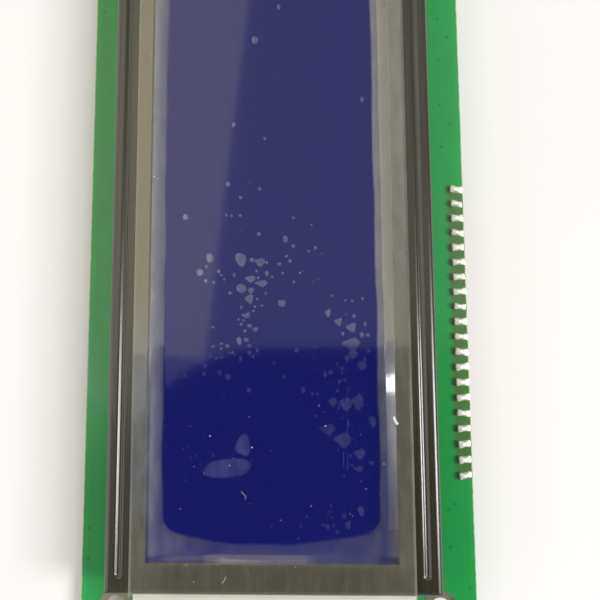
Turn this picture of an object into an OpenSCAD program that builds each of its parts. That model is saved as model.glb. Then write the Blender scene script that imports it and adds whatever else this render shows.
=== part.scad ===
// Graphic LCD module: blue display cell in a folded steel bezel on a green circuit board.
// Origin: centre of the four mounting holes, on the back face of the board.
// +X runs along the board to the backlight's tail, +Y to the pin header, +Z to the viewer.

/* [Circuit board] */
// Length of the board
pcb_l = 130; // [110:0.5:180]
// Width of the board
pcb_w = 65; // [58:0.5:90]
// Thickness of the board
pcb_t = 1.6; // [1.0:0.1:2.4]
// Distance from a mounting hole to the short edge of the board
hole_edge_l = 4; // [3.5:0.1:4.6]
// Distance from a mounting hole to the long edge of the board
hole_edge_w = 5.9; // [4:0.1:8]
// Diameter of a finished mounting hole
hole_d = 3.5; // [2.5:0.1:4]
// Width of the tinned ring around a mounting hole
ring_w = 1.1; // [0.5:0.1:1.3]
// Thickness of the tinned plating
plating_t = 0.07; // [0.04:0.01:0.12]

/* [Bezel] */
// Distance from the short edge of the board to the bezel
bezel_edge_l = 8.25; // [7.4:0.05:12]
// Distance from the long edge of the board to the bezel
bezel_edge_w = 6.5; // [5.5:0.1:10]
// Thickness of the steel sheet
sheet_t = 0.5; // [0.3:0.05:0.7]
// Outer radius of the folds
fold_r = 0.9; // [0.75:0.05:1.4]
// Width of the bezel's face at each end of the window
face_end = 4.75; // [4.2:0.05:7]
// Width of the bezel's face along each side of the window
face_side = 6.5; // [5.8:0.1:8]
// Depth of the pressed grooves
groove_depth = 0.3; // [0.25:0.05:0.4]
// Width of a groove at the front face
groove_w = 1.5; // [1.3:0.1:1.6]
// Radius of the rounded shoulders of a groove
groove_shoulder = 0.6; // [0.3:0.05:0.6]
// Distance from the long edge of the bezel to the middle of a groove
groove_inset = 2.3; // [2.1:0.1:2.6]
// Distance from the short edge of the bezel to the end of a groove
groove_end = 2.4; // [1.8:0.1:6]
// Gap of the open seam at each folded corner
seam_gap = 0.25; // [0.15:0.05:0.4]
// Height of the closed corner between a seam and the fold
seam_land = 0.4; // [0.2:0.1:1]

/* [Bezel tabs] */
// Number of tabs on each long side
long_tabs = 4; // [2:1:5]
// Distance from the short edge of the bezel to the last tab on a long side
long_tab_end = 10; // [6:0.5:16]
// Distance from the long edge of the bezel to a tab on a short side
short_tab_end = 2; // [1.6:0.1:2.2]
// Width of a tab
tab_w = 2.6; // [1.8:0.1:3]
// How far a tab reaches behind the board
tab_reach = 1.6; // [1:0.1:2.2]
// Angle that a tab is twisted behind the board
tab_twist = 40; // [25:1:60]
// Free space around a tab in its slot
slot_gap = 0.3; // [0.15:0.05:0.5]

/* [Display cell] */
// Free space around the glass inside the bezel
glass_gap = 0.5; // [0.2:0.05:0.8]
// Thickness of each glass
glass_t = 1.1; // [0.7:0.1:1.4]
// Width of the contact ledge along each long side of the front glass
ledge_w = 3.7; // [3.4:0.1:4.2]
// Height of the cell seal
seal_t = 0.05; // [0.02:0.01:0.1]
// Width of the cell seal
seal_w = 1.2; // [0.6:0.1:2]
// Thickness of each polariser
polariser_t = 0.2; // [0.1:0.05:0.3]
// How far a polariser reaches past the window
polariser_lap = 1.2; // [0.5:0.1:1.4]
// Thickness of a contact strip
zebra_t = 2.2; // [1.6:0.1:2.4]
// Distance from the end of a contact strip to the end of the front glass
zebra_end = 3.5; // [1:0.5:10]

/* [Backlight] */
// Height of the backlight
backlight_h = 5.6; // [4.4:0.1:7]
// Free space between the backlight and a contact strip
backlight_gap = 0.4; // [0.2:0.05:0.8]
// Length of the tail past the bezel
tail_l = 3.2; // [2:0.1:4]
// Free space around the tail in the bezel
tail_gap = 0.3; // [0.2:0.05:0.5]
// Side wall of the frame
frame_wall = 1.6; // [1:0.1:2.2]
// Floor of the frame
frame_floor = 0.9; // [0.6:0.1:1.4]
// Roof of the frame over the LEDs
frame_roof = 1.0; // [0.6:0.1:1.4]
// How far the light guide reaches past the window at each end
guide_lap = 2; // [0.8:0.1:2.2]
// Free space around the light guide
guide_gap = 0.15; // [0.1:0.05:0.3]
// Thickness of the reflector and of the diffuser
sheet_film_t = 0.2; // [0.1:0.05:0.3]
// Number of LEDs
led_count = 8; // [4:1:10]
// Length of an LED
led_l = 3; // [2:0.1:3.4]
// Height of an LED
led_h = 1.5; // [0.8:0.1:1.8]
// Depth of an LED
led_depth = 1.0; // [0.6:0.1:1.2]
// Thickness of the LED board
led_board_t = 0.8; // [0.5:0.1:1.0]
// Free space between the LEDs and the light guide
led_gap = 0.5; // [0.3:0.1:0.8]
// Spacing of the two legs
leg_pitch = 25; // [15:1:34]
// Width of a leg
leg_w = 0.9; // [0.6:0.1:1.2]
// Thickness of a leg
leg_t = 0.5; // [0.3:0.05:0.6]
// How far a leg stands out of the tail
leg_out = 1.0; // [0.8:0.1:1.4]
// How far a leg reaches behind the board
leg_end = 1.1; // [0.8:0.1:1.5]
// Free space around a leg in its hole
leg_hole_gap = 0.1; // [0.05:0.01:0.2]

/* [Pin header] */
// Number of pins
pin_count = 20; // [14:1:20]
// Spacing of the pins
pin_pitch = 2.54; // [2:0.01:2.6]
// Side of the square pin
pin_side = 0.64; // [0.5:0.02:0.7]
// Middle of the row from the middle of the board
row_x = 15.8; // [0:0.1:18]
// Distance from the row to the edge of the board
row_edge = 1.4; // [1.3:0.05:1.8]
// Height of the plastic strip
strip_h = 2.5; // [1.6:0.1:3]
// Width of the plastic strip
strip_w = 2.4; // [2.2:0.05:2.6]
// Length of the pins below the strip
pin_below = 6; // [3:0.1:8]
// Length of the pins above the board
pin_above = 0.8; // [0.7:0.1:1.4]
// Radius of the soldered joint on the board
joint_r = 0.85; // [0.75:0.05:0.95]
// Height of the soldered joint
joint_h = 0.5; // [0.4:0.05:0.6]
// Length of the oval pad across the board
pad_l = 2.3; // [1.9:0.05:2.5]

/* [Parts on the back] */
// Distance from the end of the window to the middle of the last driver cap
cap_end = 10; // [6:0.5:16]
// Diameter of a driver cap
cap_d = 15; // [11:0.5:18]
// Height of a driver cap
cap_h = 1.3; // [0.8:0.1:1.5]
// Distance of the driver caps from the middle of the board
cap_y = -3; // [-8:0.5:0]
// Length of the voltage inverter's body
inverter_l = 4.9; // [4:0.1:6]
// Width of the voltage inverter's body
inverter_w = 3.9; // [3:0.1:4.4]
// Height of the voltage inverter's body
inverter_h = 1.4; // [1:0.05:1.5]
// Number of chip resistors
resistor_count = 9; // [4:1:9]
// Number of chip capacitors
capacitor_count = 7; // [3:1:7]
// Length of a chip part
chip_l = 2.0; // [1.6:0.1:2.4]
// Width of a chip part
chip_w = 1.25; // [0.8:0.05:1.6]
// Height of a chip resistor
resistor_h = 0.55; // [0.4:0.05:0.7]
// Height of a chip capacitor
capacitor_h = 0.9; // [0.6:0.05:1.1]

/* [Protective film] */
// How far the film reaches past each side of the window
film_lap = 2.5; // [1.5:0.1:2.8]
// Thickness of the film
film_t = 0.1; // [0.05:0.01:0.15]
// How far the film stands past each short edge of the bezel
film_over = 0.15; // [0:0.05:0.4]
// Width of the band along the window's edges where the film hangs free
film_free = 2.5; // [1.5:0.1:4]

/* [Hidden] */
$fn = 48;
cut = 1;

// Outlines, from the board inwards
bezel_l = pcb_l - 2 * bezel_edge_l;
bezel_w = pcb_w - 2 * bezel_edge_w;
window_l = bezel_l - 2 * face_end;
window_w = bezel_w - 2 * face_side;
film_l = bezel_l + 2 * film_over;
film_w = window_w + 2 * film_lap;

// Mounting holes
hole_pitch_l = pcb_l - 2 * hole_edge_l;
hole_pitch_w = pcb_w - 2 * hole_edge_w;

// Levels, counted up from the back face of the board
backlight_z = pcb_t;
rear_polariser_z = backlight_z + backlight_h;
rear_glass_z = rear_polariser_z + polariser_t;
seal_z = rear_glass_z + glass_t;
front_glass_z = seal_z + seal_t;
front_polariser_z = front_glass_z + glass_t;
display_z = front_polariser_z + polariser_t;
bezel_inner_z = front_polariser_z + groove_depth;
bezel_z = bezel_inner_z + sheet_t;
bezel_h = bezel_z - pcb_t;

// Display cell
inner_l = bezel_l - 2 * sheet_t;
inner_w = bezel_w - 2 * sheet_t;
front_glass_l = inner_l - 2 * glass_gap;
front_glass_w = inner_w - 2 * glass_gap;
rear_glass_w = front_glass_w - 2 * ledge_w;
polariser_l = window_l + 2 * polariser_lap;
polariser_w = window_w + 2 * polariser_lap;
groove_y = bezel_w / 2 - groove_inset;
groove_reach = (groove_w * groove_w / 4 + groove_depth * groove_depth) / (2 * groove_depth);
groove_crease = 0.02;
groove_r = groove_reach - groove_shoulder + groove_crease;
groove_lip = groove_shoulder * groove_depth / groove_reach;
groove_l = bezel_l - 2 * groove_end - groove_w;

// Backlight
backlight_w = 2 * (groove_y - zebra_t / 2 - backlight_gap);
backlight_x0 = -front_glass_l / 2;
tail_x = bezel_l / 2 + tail_l;
pocket_l = window_l + 2 * guide_lap;
pocket_w = backlight_w - 2 * frame_wall;
guide_l = pocket_l - 2 * guide_gap;
guide_w = pocket_w - 2 * guide_gap;
guide_h = backlight_h - frame_floor - 2 * sheet_film_t;
guide_z = backlight_z + frame_floor + sheet_film_t;
led_face_x = pocket_l / 2 + led_gap;
led_board_x = led_face_x + led_depth;
led_bay_x = led_board_x + led_board_t;
led_bay_h = backlight_h - frame_floor - frame_roof;
led_bay_w = pocket_w;
led_z = backlight_z + frame_floor + (led_bay_h - led_h) / 2;
leg_z = backlight_z + frame_floor + led_bay_h / 2;
leg_x = tail_x + leg_out - leg_t / 2;
leg_hole_r = norm([leg_w, leg_t]) / 2 + leg_hole_gap;
leg_pad_w = 0.5;
leg_joint_h = 0.8;

// Bezel tabs: [middle of the tab, angle of the side that it hangs from]
long_tab_y = bezel_w / 2 - sheet_t / 2;
short_tab_x = bezel_l / 2 - sheet_t / 2;
short_tab_y = bezel_w / 2 - short_tab_end;
long_tab_pitch = (bezel_l - 2 * long_tab_end) / (long_tabs - 1);
long_tab_xs = [for (i = [0 : long_tabs - 1]) long_tab_end - bezel_l / 2 + i * long_tab_pitch];
tabs = concat(
    [for (x = long_tab_xs, side = [-1, 1]) [x, side * long_tab_y, 0]],
    [for (end = [-1, 1], side = [-1, 1]) [end * short_tab_x, side * short_tab_y, 90]]
);

// Pin header
row_y = pcb_w / 2 - row_edge;
row_xs = [for (i = [0 : pin_count - 1]) row_x + (i - (pin_count - 1) / 2) * pin_pitch];
strip_corner = 0.45;
pin_d = pin_side * sqrt(2);
pin_hole_gap = 0.06;
pin_hole_d = pin_d + 2 * pin_hole_gap;
pin_tip = 0.35;
joint_skin = 0.05;
joint_top_r = pin_d / 2 + joint_skin;
pad_t = 0.06;
pad_r = joint_r;

// Parts on the back
cap_steps = 8;
cap_pitch = (window_l - 2 * cap_end) / 3;
cap_xs = [for (i = [0 : 3]) (i - 1.5) * cap_pitch];
inverter_x = -30;
inverter_y = 16;
inverter_stand = 0.1;
inverter_draft = 0.12;
lead_pitch = 1.27;
lead_w = 0.42;
lead_t = 0.2;
lead_out = 1.05;
lead_root = 0.3;
chip_pitch = 3.4;
chip_end = 0.4;
chip_skin = 0.04;
resistor_x = -18;
resistor_y = 16;
capacitor_x = -18;
capacitor_y = -18;

// A plate centred on the Z axis, standing on z
module plate(l, w, t, z) {
    translate([-l / 2, -w / 2, z]) cube([l, w, t]);
}

// The four mounting-hole places
module at_mounting_holes() {
    for (x = [-1, 1], y = [-1, 1])
        translate([x * hole_pitch_l / 2, y * hole_pitch_w / 2, 0]) children();
}

// The places of the header's pins
module at_pins() {
    for (x = row_xs) translate([x, row_y, 0]) children();
}

// The places of the backlight's legs
module at_legs() {
    for (side = [-1, 1]) translate([leg_x, side * leg_pitch / 2, 0]) children();
}

// A round-ended slot through the board
module slot_cut(l, w) {
    for (end = [-1, 1]) translate([end * (l - w) / 2, 0, -cut]) cylinder(d = w, h = pcb_t + 2 * cut);
    translate([-(l - w) / 2, -w / 2, -cut]) cube([l - w, w, pcb_t + 2 * cut]);
}

module circuit_board() {
    color("forestgreen") difference() {
        plate(pcb_l, pcb_w, pcb_t, 0);
        at_mounting_holes() translate([0, 0, -cut])
            cylinder(d = hole_d + 2 * plating_t, h = pcb_t + 2 * cut);
        at_pins() translate([0, 0, -cut]) cylinder(d = pin_hole_d, h = pcb_t + 2 * cut);
        at_legs() translate([0, 0, -cut]) cylinder(r = leg_hole_r, h = pcb_t + 2 * cut);
        for (tab = tabs) translate([tab[0], tab[1], 0]) rotate([0, 0, tab[2]])
            slot_cut(tab_w + 2 * slot_gap, sheet_t + 2 * slot_gap);
    }
}

// Plated hole: a barrel with a flat ring on each face of the board
module mounting_rings() {
    bore_r = hole_d / 2;
    barrel_r = bore_r + plating_t;
    ring_r = bore_r + ring_w;
    color("tan") at_mounting_holes() rotate_extrude() polygon([
        [bore_r, -plating_t], [ring_r, -plating_t], [ring_r, 0], [barrel_r, 0],
        [barrel_r, pcb_t], [ring_r, pcb_t], [ring_r, pcb_t + plating_t], [bore_r, pcb_t + plating_t]
    ]);
}

// Outline of a folded channel seen from its end: square at the foot, rounded at the top
module fold_profile(w, h, r) {
    translate([-w / 2, 0]) square([w, h - r]);
    translate([r - w / 2, 0]) square([w - 2 * r, h]);
    for (side = [-1, 1]) translate([side * (w / 2 - r), h - r]) circle(r);
}

// A block with its four top edges rounded and its corners mitred
module folded_block(l, w, h, r) {
    intersection() {
        translate([-l / 2, 0, 0]) rotate([90, 0, 90]) linear_extrude(l) fold_profile(w, h, r);
        translate([0, w / 2, 0]) rotate([90, 0, 0]) linear_extrude(w) fold_profile(l, h, r);
    }
}

// A round bar with round ends along X, over the middle of each groove: the back of the pressing
module groove_bars(r) {
    for (side = [-1, 1]) translate([0, side * groove_y, bezel_z + groove_r - groove_depth]) {
        translate([-groove_l / 2, 0, 0]) rotate([0, 90, 0]) cylinder(r = r, h = groove_l);
        for (end = [-1, 1]) translate([end * groove_l / 2, 0, 0]) rotate([0, 90, 0]) sphere(r);
    }
}

// Section of a groove's hollow: a round bottom between rounded shoulders, its mouth on the line y = 0
module groove_section() {
    difference() {
        union() {
            translate([0, groove_r - groove_depth]) circle(groove_r);
            translate([-groove_w / 2, -groove_lip]) square([groove_w, groove_lip + cut]);
        }
        for (side = [-1, 1]) translate([side * groove_w / 2, -groove_shoulder]) circle(groove_shoulder);
    }
}

// The hollow of each groove, with round ends
module groove_hollows() {
    for (side = [-1, 1]) translate([0, side * groove_y, bezel_z]) {
        translate([-groove_l / 2, 0, 0]) rotate([90, 0, 90]) linear_extrude(groove_l) groove_section();
        for (end = [-1, 1]) translate([end * groove_l / 2, 0, 0]) rotate_extrude() intersection() {
            groove_section();
            translate([0, -groove_depth - cut]) square([groove_w, groove_depth + 2 * groove_r + cut]);
        }
    }
}

// A tab: a neck through the slot and a blade twisted behind the board
module twist_tab() {
    translate([-tab_w / 2, -sheet_t / 2, 0]) cube([tab_w, sheet_t, pcb_t]);
    rotate([0, 0, tab_twist]) translate([-tab_w / 2, -sheet_t / 2, -tab_reach])
        cube([tab_w, sheet_t, tab_reach]);
}

module bezel() {
    color("dimgray") {
        difference() {
            union() {
                difference() {
                    translate([0, 0, pcb_t]) folded_block(bezel_l, bezel_w, bezel_h, fold_r);
                    translate([0, 0, pcb_t - cut])
                        folded_block(inner_l, inner_w, bezel_h - sheet_t + cut, fold_r - sheet_t);
                }
                intersection() {
                    groove_bars(groove_r + sheet_t);
                    plate(bezel_l, bezel_w - 2 * fold_r, bezel_h - sheet_t / 2, pcb_t);
                }
            }
            groove_hollows();
            plate(window_l, window_w, 2 * cut + sheet_t, bezel_inner_z - cut);
            translate([bezel_l / 2 - cut - sheet_t, -backlight_w / 2 - tail_gap, pcb_t - cut])
                cube([2 * cut + sheet_t, backlight_w + 2 * tail_gap, backlight_h + tail_gap + cut]);
            for (x = [-1, 1], y = [-1, 1])
                translate([x * bezel_l / 2, y * bezel_w / 2, pcb_t - cut]) rotate([0, 0, 45 * x * y])
                    translate([-2 * sheet_t, -seam_gap / 2, 0])
                        cube([4 * sheet_t, seam_gap, bezel_h - fold_r - seam_land + cut]);
        }
        for (tab = tabs) translate([tab[0], tab[1], 0]) rotate([0, 0, tab[2]]) twist_tab();
    }
}

module front_polariser() {
    color("midnightblue") plate(polariser_l, polariser_w, polariser_t, front_polariser_z);
}

module front_glass() {
    color("lightsteelblue") plate(front_glass_l, front_glass_w, glass_t, front_glass_z);
}

module cell_seal() {
    color("wheat") difference() {
        plate(front_glass_l, rear_glass_w, seal_t, seal_z);
        plate(front_glass_l - 2 * seal_w, rear_glass_w - 2 * seal_w, seal_t + 2 * cut, seal_z - cut);
    }
}

module rear_glass() {
    color("lightsteelblue") plate(front_glass_l, rear_glass_w, glass_t, rear_glass_z);
}

module rear_polariser() {
    color("slateblue") plate(polariser_l, polariser_w, polariser_t, rear_polariser_z);
}

// Contact strip from the board to the ledge of the front glass
module zebra_strip(side) {
    color("mistyrose") translate([0, side * groove_y, 0])
        plate(front_glass_l - 2 * zebra_end, zebra_t, front_glass_z - pcb_t, pcb_t);
}

module zebra_strip_left() {
    zebra_strip(-1);
}

module zebra_strip_right() {
    zebra_strip(1);
}

// One leg: flat out of the tail, then down through the board
module backlight_leg(side) {
    translate([led_bay_x, side * leg_pitch / 2 - leg_w / 2, leg_z - leg_t / 2])
        cube([tail_x + leg_out - led_bay_x, leg_w, leg_t]);
    translate([leg_x - leg_t / 2, side * leg_pitch / 2 - leg_w / 2, -leg_end])
        cube([leg_t, leg_w, leg_z + leg_end]);
}

module backlight_legs() {
    color("silver") for (side = [-1, 1]) backlight_leg(side);
}

module backlight_frame() {
    color("ivory") difference() {
        translate([backlight_x0, -backlight_w / 2, backlight_z])
            cube([tail_x - backlight_x0, backlight_w, backlight_h]);
        plate(pocket_l, pocket_w, backlight_h, backlight_z + frame_floor);
        translate([0, -led_bay_w / 2, backlight_z + frame_floor])
            cube([led_bay_x, led_bay_w, led_bay_h]);
        for (side = [-1, 1]) backlight_leg(side);
    }
}

module backlight_reflector() {
    color("white") plate(guide_l, guide_w, sheet_film_t, guide_z - sheet_film_t);
}

module light_guide() {
    color("aliceblue") plate(guide_l, guide_w, guide_h, guide_z);
}

module diffuser_sheet() {
    color("whitesmoke") plate(guide_l, guide_w, sheet_film_t, guide_z + guide_h);
}

module led_board() {
    color("white") translate([led_board_x, guide_gap - led_bay_w / 2, backlight_z + frame_floor])
        cube([led_board_t, led_bay_w - 2 * guide_gap, led_bay_h]);
}

module led_chips() {
    led_pitch = led_bay_w / led_count;
    color("lightyellow") for (i = [0 : led_count - 1])
        translate([led_face_x, (i - (led_count - 1) / 2) * led_pitch - led_l / 2, led_z])
            cube([led_depth, led_l, led_h]);
}

// Hollow-sided heap of solder, radius foot_r at its foot and top_r at height h
module solder_heap(foot_r, top_r, h) {
    steps = 5;
    rotate_extrude() polygon(concat(
        [[0, 0]],
        [for (i = [0 : steps]) [top_r + (foot_r - top_r) * pow(1 - i / steps, 2), h * i / steps]],
        [[0, h]]
    ));
}

module backlight_solder() {
    color("silver") difference() {
        at_legs() mirror([0, 0, 1]) solder_heap(leg_hole_r + leg_pad_w, leg_hole_r, leg_joint_h);
        for (side = [-1, 1]) backlight_leg(side);
    }
}

// One cell of the strip: a square with its corners cut off
module header_strip() {
    a = pin_pitch / 2;
    b = strip_w / 2;
    c = strip_corner;
    color("black") difference() {
        at_pins() translate([0, 0, -strip_h]) linear_extrude(strip_h) polygon([
            [-a, c - b], [c - a, -b], [a - c, -b], [a, c - b],
            [a, b - c], [a - c, b], [c - a, b], [-a, b - c]
        ]);
        at_pins() plate(pin_side, pin_side, strip_h + 2 * cut, -strip_h - cut);
    }
}

// A square pin with a tapered tip at each end
module header_pin() {
    low = -strip_h - pin_below;
    high = pcb_t + pin_above;
    plate(pin_side, pin_side, high - low - 2 * pin_tip, low + pin_tip);
    translate([0, 0, high - pin_tip]) rotate(45) cylinder(d1 = pin_d, d2 = pin_d / 2, h = pin_tip, $fn = 4);
    translate([0, 0, low]) rotate(45) cylinder(d1 = pin_d / 2, d2 = pin_d, h = pin_tip, $fn = 4);
}

module header_pins() {
    color("gold") at_pins() header_pin();
}

// Oval pad with a heap of solder drawn up around the pin
module header_joint() {
    difference() {
        union() {
            for (end = [-1, 1]) translate([0, end * (pad_l / 2 - pad_r), 0]) cylinder(r = pad_r, h = pad_t);
            translate([-pad_r, pad_r - pad_l / 2, 0]) cube([2 * pad_r, pad_l - 2 * pad_r, pad_t]);
            solder_heap(joint_r, joint_top_r, joint_h);
        }
        plate(pin_side, pin_side, joint_h + 2 * cut, -cut);
    }
}

module header_solder() {
    color("gainsboro") at_pins() translate([0, 0, pcb_t]) header_joint();
}

// Low heap of black epoxy over a driver chip, steep at its rim and nearly flat on top
module driver_cap(i) {
    color("black") translate([cap_xs[i], cap_y, 0]) rotate_extrude() polygon(concat(
        [[0, 0]],
        [for (k = [0 : cap_steps]) [cap_d / 2 * sin(90 * (cap_steps - k) / cap_steps),
            -cap_h * pow(cos(90 * (cap_steps - k) / cap_steps), 1.4)]]
    ));
}

module common_driver_cap() {
    driver_cap(0);
}

module segment_driver_cap_1() {
    driver_cap(1);
}

module segment_driver_cap_2() {
    driver_cap(2);
}

module segment_driver_cap_3() {
    driver_cap(3);
}

// Body of the eight-lead chip, its sides drafted to the parting line at mid height
module voltage_inverter() {
    a = inverter_w / 2;
    b = a - inverter_draft;
    color("dimgray") difference() {
        translate([inverter_x - inverter_l / 2, inverter_y, -inverter_stand - inverter_h])
            rotate([90, 0, 90]) linear_extrude(inverter_l) polygon([
                [-b, 0], [b, 0], [a, inverter_h / 2], [b, inverter_h], [-b, inverter_h], [-a, inverter_h / 2]
            ]);
        inverter_lead_row();
    }
}

// Gull-wing leads: out of the body at mid height, down and out along the board
module inverter_lead_row() {
    root = inverter_w / 2 - lead_root;
    knee = inverter_w / 2 + lead_out / 2;
    toe = inverter_w / 2 + lead_out;
    top = -inverter_stand - inverter_h / 2 - lead_t / 2;
    for (i = [0 : 3], side = [0, 180])
        translate([inverter_x + (i - 1.5) * lead_pitch, inverter_y, 0]) rotate([0, 0, side])
            translate([-lead_w / 2, 0, 0]) rotate([90, 0, 90]) linear_extrude(lead_w) polygon([
                [root, top], [knee, top], [knee, -lead_t], [toe, -lead_t],
                [toe, 0], [knee - lead_t, 0], [knee - lead_t, top + lead_t], [root, top + lead_t]
            ]);
}

module inverter_leads() {
    color("silver") inverter_lead_row();
}

// Chip part lying along Y on the back of the board, its metal ends a skin thicker than its body
module chip_part(h) {
    plate(chip_w - 2 * chip_skin, chip_l - 2 * chip_skin, h - 2 * chip_skin, chip_skin - h);
    for (end = [-1, 1]) translate([0, end * (chip_l - chip_end) / 2, 0]) plate(chip_w, chip_end, h, -h);
}

module chip_resistors() {
    color("black") for (i = [0 : resistor_count - 1])
        translate([resistor_x + i * chip_pitch, resistor_y, 0]) chip_part(resistor_h);
}

module chip_capacitors() {
    color("burlywood") for (i = [0 : capacitor_count - 1])
        translate([capacitor_x + i * 2 * chip_pitch, capacitor_y, 0]) chip_part(capacitor_h);
}

// Tray that the film sinks into: the window at the front face, smaller at the display
module film_tray(lift) {
    skin = 0.01;
    hull() {
        plate(window_l, window_w, skin, bezel_z + lift);
        plate(window_l - 2 * film_free, window_w - 2 * film_free, skin, display_z + lift);
    }
}

// Clear film flat on the bezel, sunk onto the display inside the window
module protective_film() {
    color("lavender", 0.3) difference() {
        union() {
            plate(film_l, film_w, film_t, bezel_z);
            film_tray(0);
        }
        film_tray(film_t);
    }
}

circuit_board();
mounting_rings();
bezel();
front_polariser();
front_glass();
cell_seal();
rear_glass();
rear_polariser();
zebra_strip_left();
zebra_strip_right();
backlight_frame();
backlight_reflector();
light_guide();
diffuser_sheet();
led_board();
led_chips();
backlight_legs();
backlight_solder();
header_strip();
header_pins();
header_solder();
common_driver_cap();
segment_driver_cap_1();
segment_driver_cap_2();
segment_driver_cap_3();
voltage_inverter();
inverter_leads();
chip_resistors();
chip_capacitors();
protective_film();
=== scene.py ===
"""Looks of a graphic LCD module: blue display under clear film, painted steel bezel, green circuit board."""

import math
import random

import bmesh
import bpy
from mathutils import Matrix, Vector, noise


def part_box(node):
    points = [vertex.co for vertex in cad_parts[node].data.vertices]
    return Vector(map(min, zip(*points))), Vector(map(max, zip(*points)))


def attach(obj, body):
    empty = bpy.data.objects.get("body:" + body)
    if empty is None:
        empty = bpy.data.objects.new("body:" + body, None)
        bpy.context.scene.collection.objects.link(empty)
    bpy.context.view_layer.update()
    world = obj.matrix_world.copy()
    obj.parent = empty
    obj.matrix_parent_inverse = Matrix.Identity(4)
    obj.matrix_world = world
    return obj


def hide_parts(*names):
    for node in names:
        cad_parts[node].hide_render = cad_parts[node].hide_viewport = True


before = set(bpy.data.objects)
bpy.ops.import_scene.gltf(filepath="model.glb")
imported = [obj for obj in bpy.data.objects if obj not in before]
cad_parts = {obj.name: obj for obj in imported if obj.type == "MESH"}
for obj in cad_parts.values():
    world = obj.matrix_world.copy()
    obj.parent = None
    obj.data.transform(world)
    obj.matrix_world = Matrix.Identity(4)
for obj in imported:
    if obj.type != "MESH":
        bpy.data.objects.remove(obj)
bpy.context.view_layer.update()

# Lengths are written in millimetres and turned to metres where a mesh, lamp or camera is made
MM = 0.001

# Camera: its place, aim and roll, the side of the square picture and the focal length in pixels, the width of
# its sensor, and how near it sees
CAMERA_PLACE = Vector((24.4, 10.2, 120.3))
CAMERA_AIM = Vector((11.56, 4.70, 10.6))
CAMERA_ROLL = math.radians(0.42)
PICTURE_SIDE = 600
FOCAL_PIXELS = 698
SENSOR_WIDTH = 36
CLIP_START = 5


def box_mm(node):
    """Lowest and highest corner of a solid of the frame, in millimetres."""
    low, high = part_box(node)
    return low / MM, high / MM


# Levels and outlines that the pieces take from the frame
board_high = box_mm("circuit_board")[1]
bezel_low, bezel_high = box_mm("bezel")
film_low, film_high = box_mm("protective_film")
polariser_high = box_mm("front_polariser")[1]
joint_low = box_mm("header_solder")[0]
pin_low, pin_high = box_mm("header_pins")
strip_low, strip_high = box_mm("header_strip")
POLARISER_LAP = 1.2
window_x = polariser_high.x - POLARISER_LAP
window_y = polariser_high.y - POLARISER_LAP
board_back = strip_high.z
board_front = joint_low.z
display_level = polariser_high.z
bezel_level = film_low.z + bezel_high.z - display_level
PIN_COUNT = 20
PIN_PITCH = 2.54
pin_row_x = (strip_low.x + strip_high.x) / 2
pin_row_y = (pin_low.y + pin_high.y) / 2


def sight_lines():
    """Right, down and forward directions of the camera in the frame."""
    forward = (CAMERA_AIM - CAMERA_PLACE).normalized()
    right = forward.cross(Vector((-1, 0, 0))).normalized()
    right.rotate(Matrix.Rotation(CAMERA_ROLL, 3, forward))
    return right, forward.cross(right), forward


RIGHT, DOWN, FORWARD = sight_lines()


def at_pixel(column, row, level):
    """Point at a level, in millimetres, on the line of sight through a pixel of the picture."""
    half = PICTURE_SIDE / 2
    ray = FORWARD + (RIGHT * (column - half) + DOWN * (row - half)) / FOCAL_PIXELS
    return CAMERA_PLACE + ray * ((level - CAMERA_PLACE.z) / ray.z)


def colour(code):
    """Linear colour of an sRGB hex value."""
    parts = [int(code[i:i + 2], 16) / 255 for i in (0, 2, 4)]
    return [p / 12.92 if p <= 0.04045 else ((p + 0.055) / 1.055) ** 2.4 for p in parts] + [1.0]


# Kinds of node that come often, and the setting that makes a mix one of colours
NOISE = "ShaderNodeTexNoise"
MATH = "ShaderNodeMath"
MIX = "ShaderNodeMix"
RANGE = "ShaderNodeMapRange"
AXES = "ShaderNodeSeparateXYZ"
RELIEF = "ShaderNodeBump"
SURFACE = "ShaderNodeBsdfPrincipled"
COLOURS = {"data_type": "RGBA"}


def add(tree, kind, settings=None, links=None):
    """Adds a node with its properties set and its inputs joined to sockets or set to values."""
    node = tree.nodes.new(kind)
    for name, value in (settings or {}).items():
        setattr(node, name, value)
    for name, value in (links or {}).items():
        if isinstance(value, bpy.types.NodeSocket):
            tree.links.new(value, node.inputs[name])
        else:
            node.inputs[name].default_value = value
    return node


def begin(name):
    """A new material, its empty tree and its Object coordinates."""
    material = bpy.data.materials.new(name)
    material.use_nodes = True
    material.node_tree.nodes.clear()
    tree = material.node_tree
    return material, tree, add(tree, "ShaderNodeTexCoord").outputs["Object"]


def close(tree, shader):
    """Ends a material's tree in its surface."""
    add(tree, "ShaderNodeOutputMaterial", {}, {"Surface": shader})


def mottled(name, pale, dark, patch_mm, rough, grain_mm, grain_depth_mm, sockets=None):
    """A finish of two close colours in soft patches, with a fine grain in relief and in gloss."""
    material, tree, place = begin(name)
    patches = add(tree, NOISE, {}, {"Vector": place, "Scale": 1 / (patch_mm * MM), "Detail": 4.0})
    grain = add(tree, NOISE, {}, {"Vector": place, "Scale": 1 / (grain_mm * MM), "Detail": 2.0})
    tint = add(tree, MIX, COLOURS, {0: patches.outputs["Fac"], 6: colour(dark), 7: colour(pale)})
    gloss = add(tree, RANGE, {}, {"Value": grain.outputs["Fac"], "To Min": rough[0], "To Max": rough[1]})
    relief = add(tree, RELIEF, {}, {"Height": grain.outputs["Fac"], "Distance": grain_depth_mm * MM})
    shader = add(tree, SURFACE, {},
                 {"Base Color": tint.outputs[2], "Roughness": gloss.outputs["Result"],
                  "Normal": relief.outputs["Normal"], **(sockets or {})})
    close(tree, shader.outputs[0])
    return material


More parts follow.
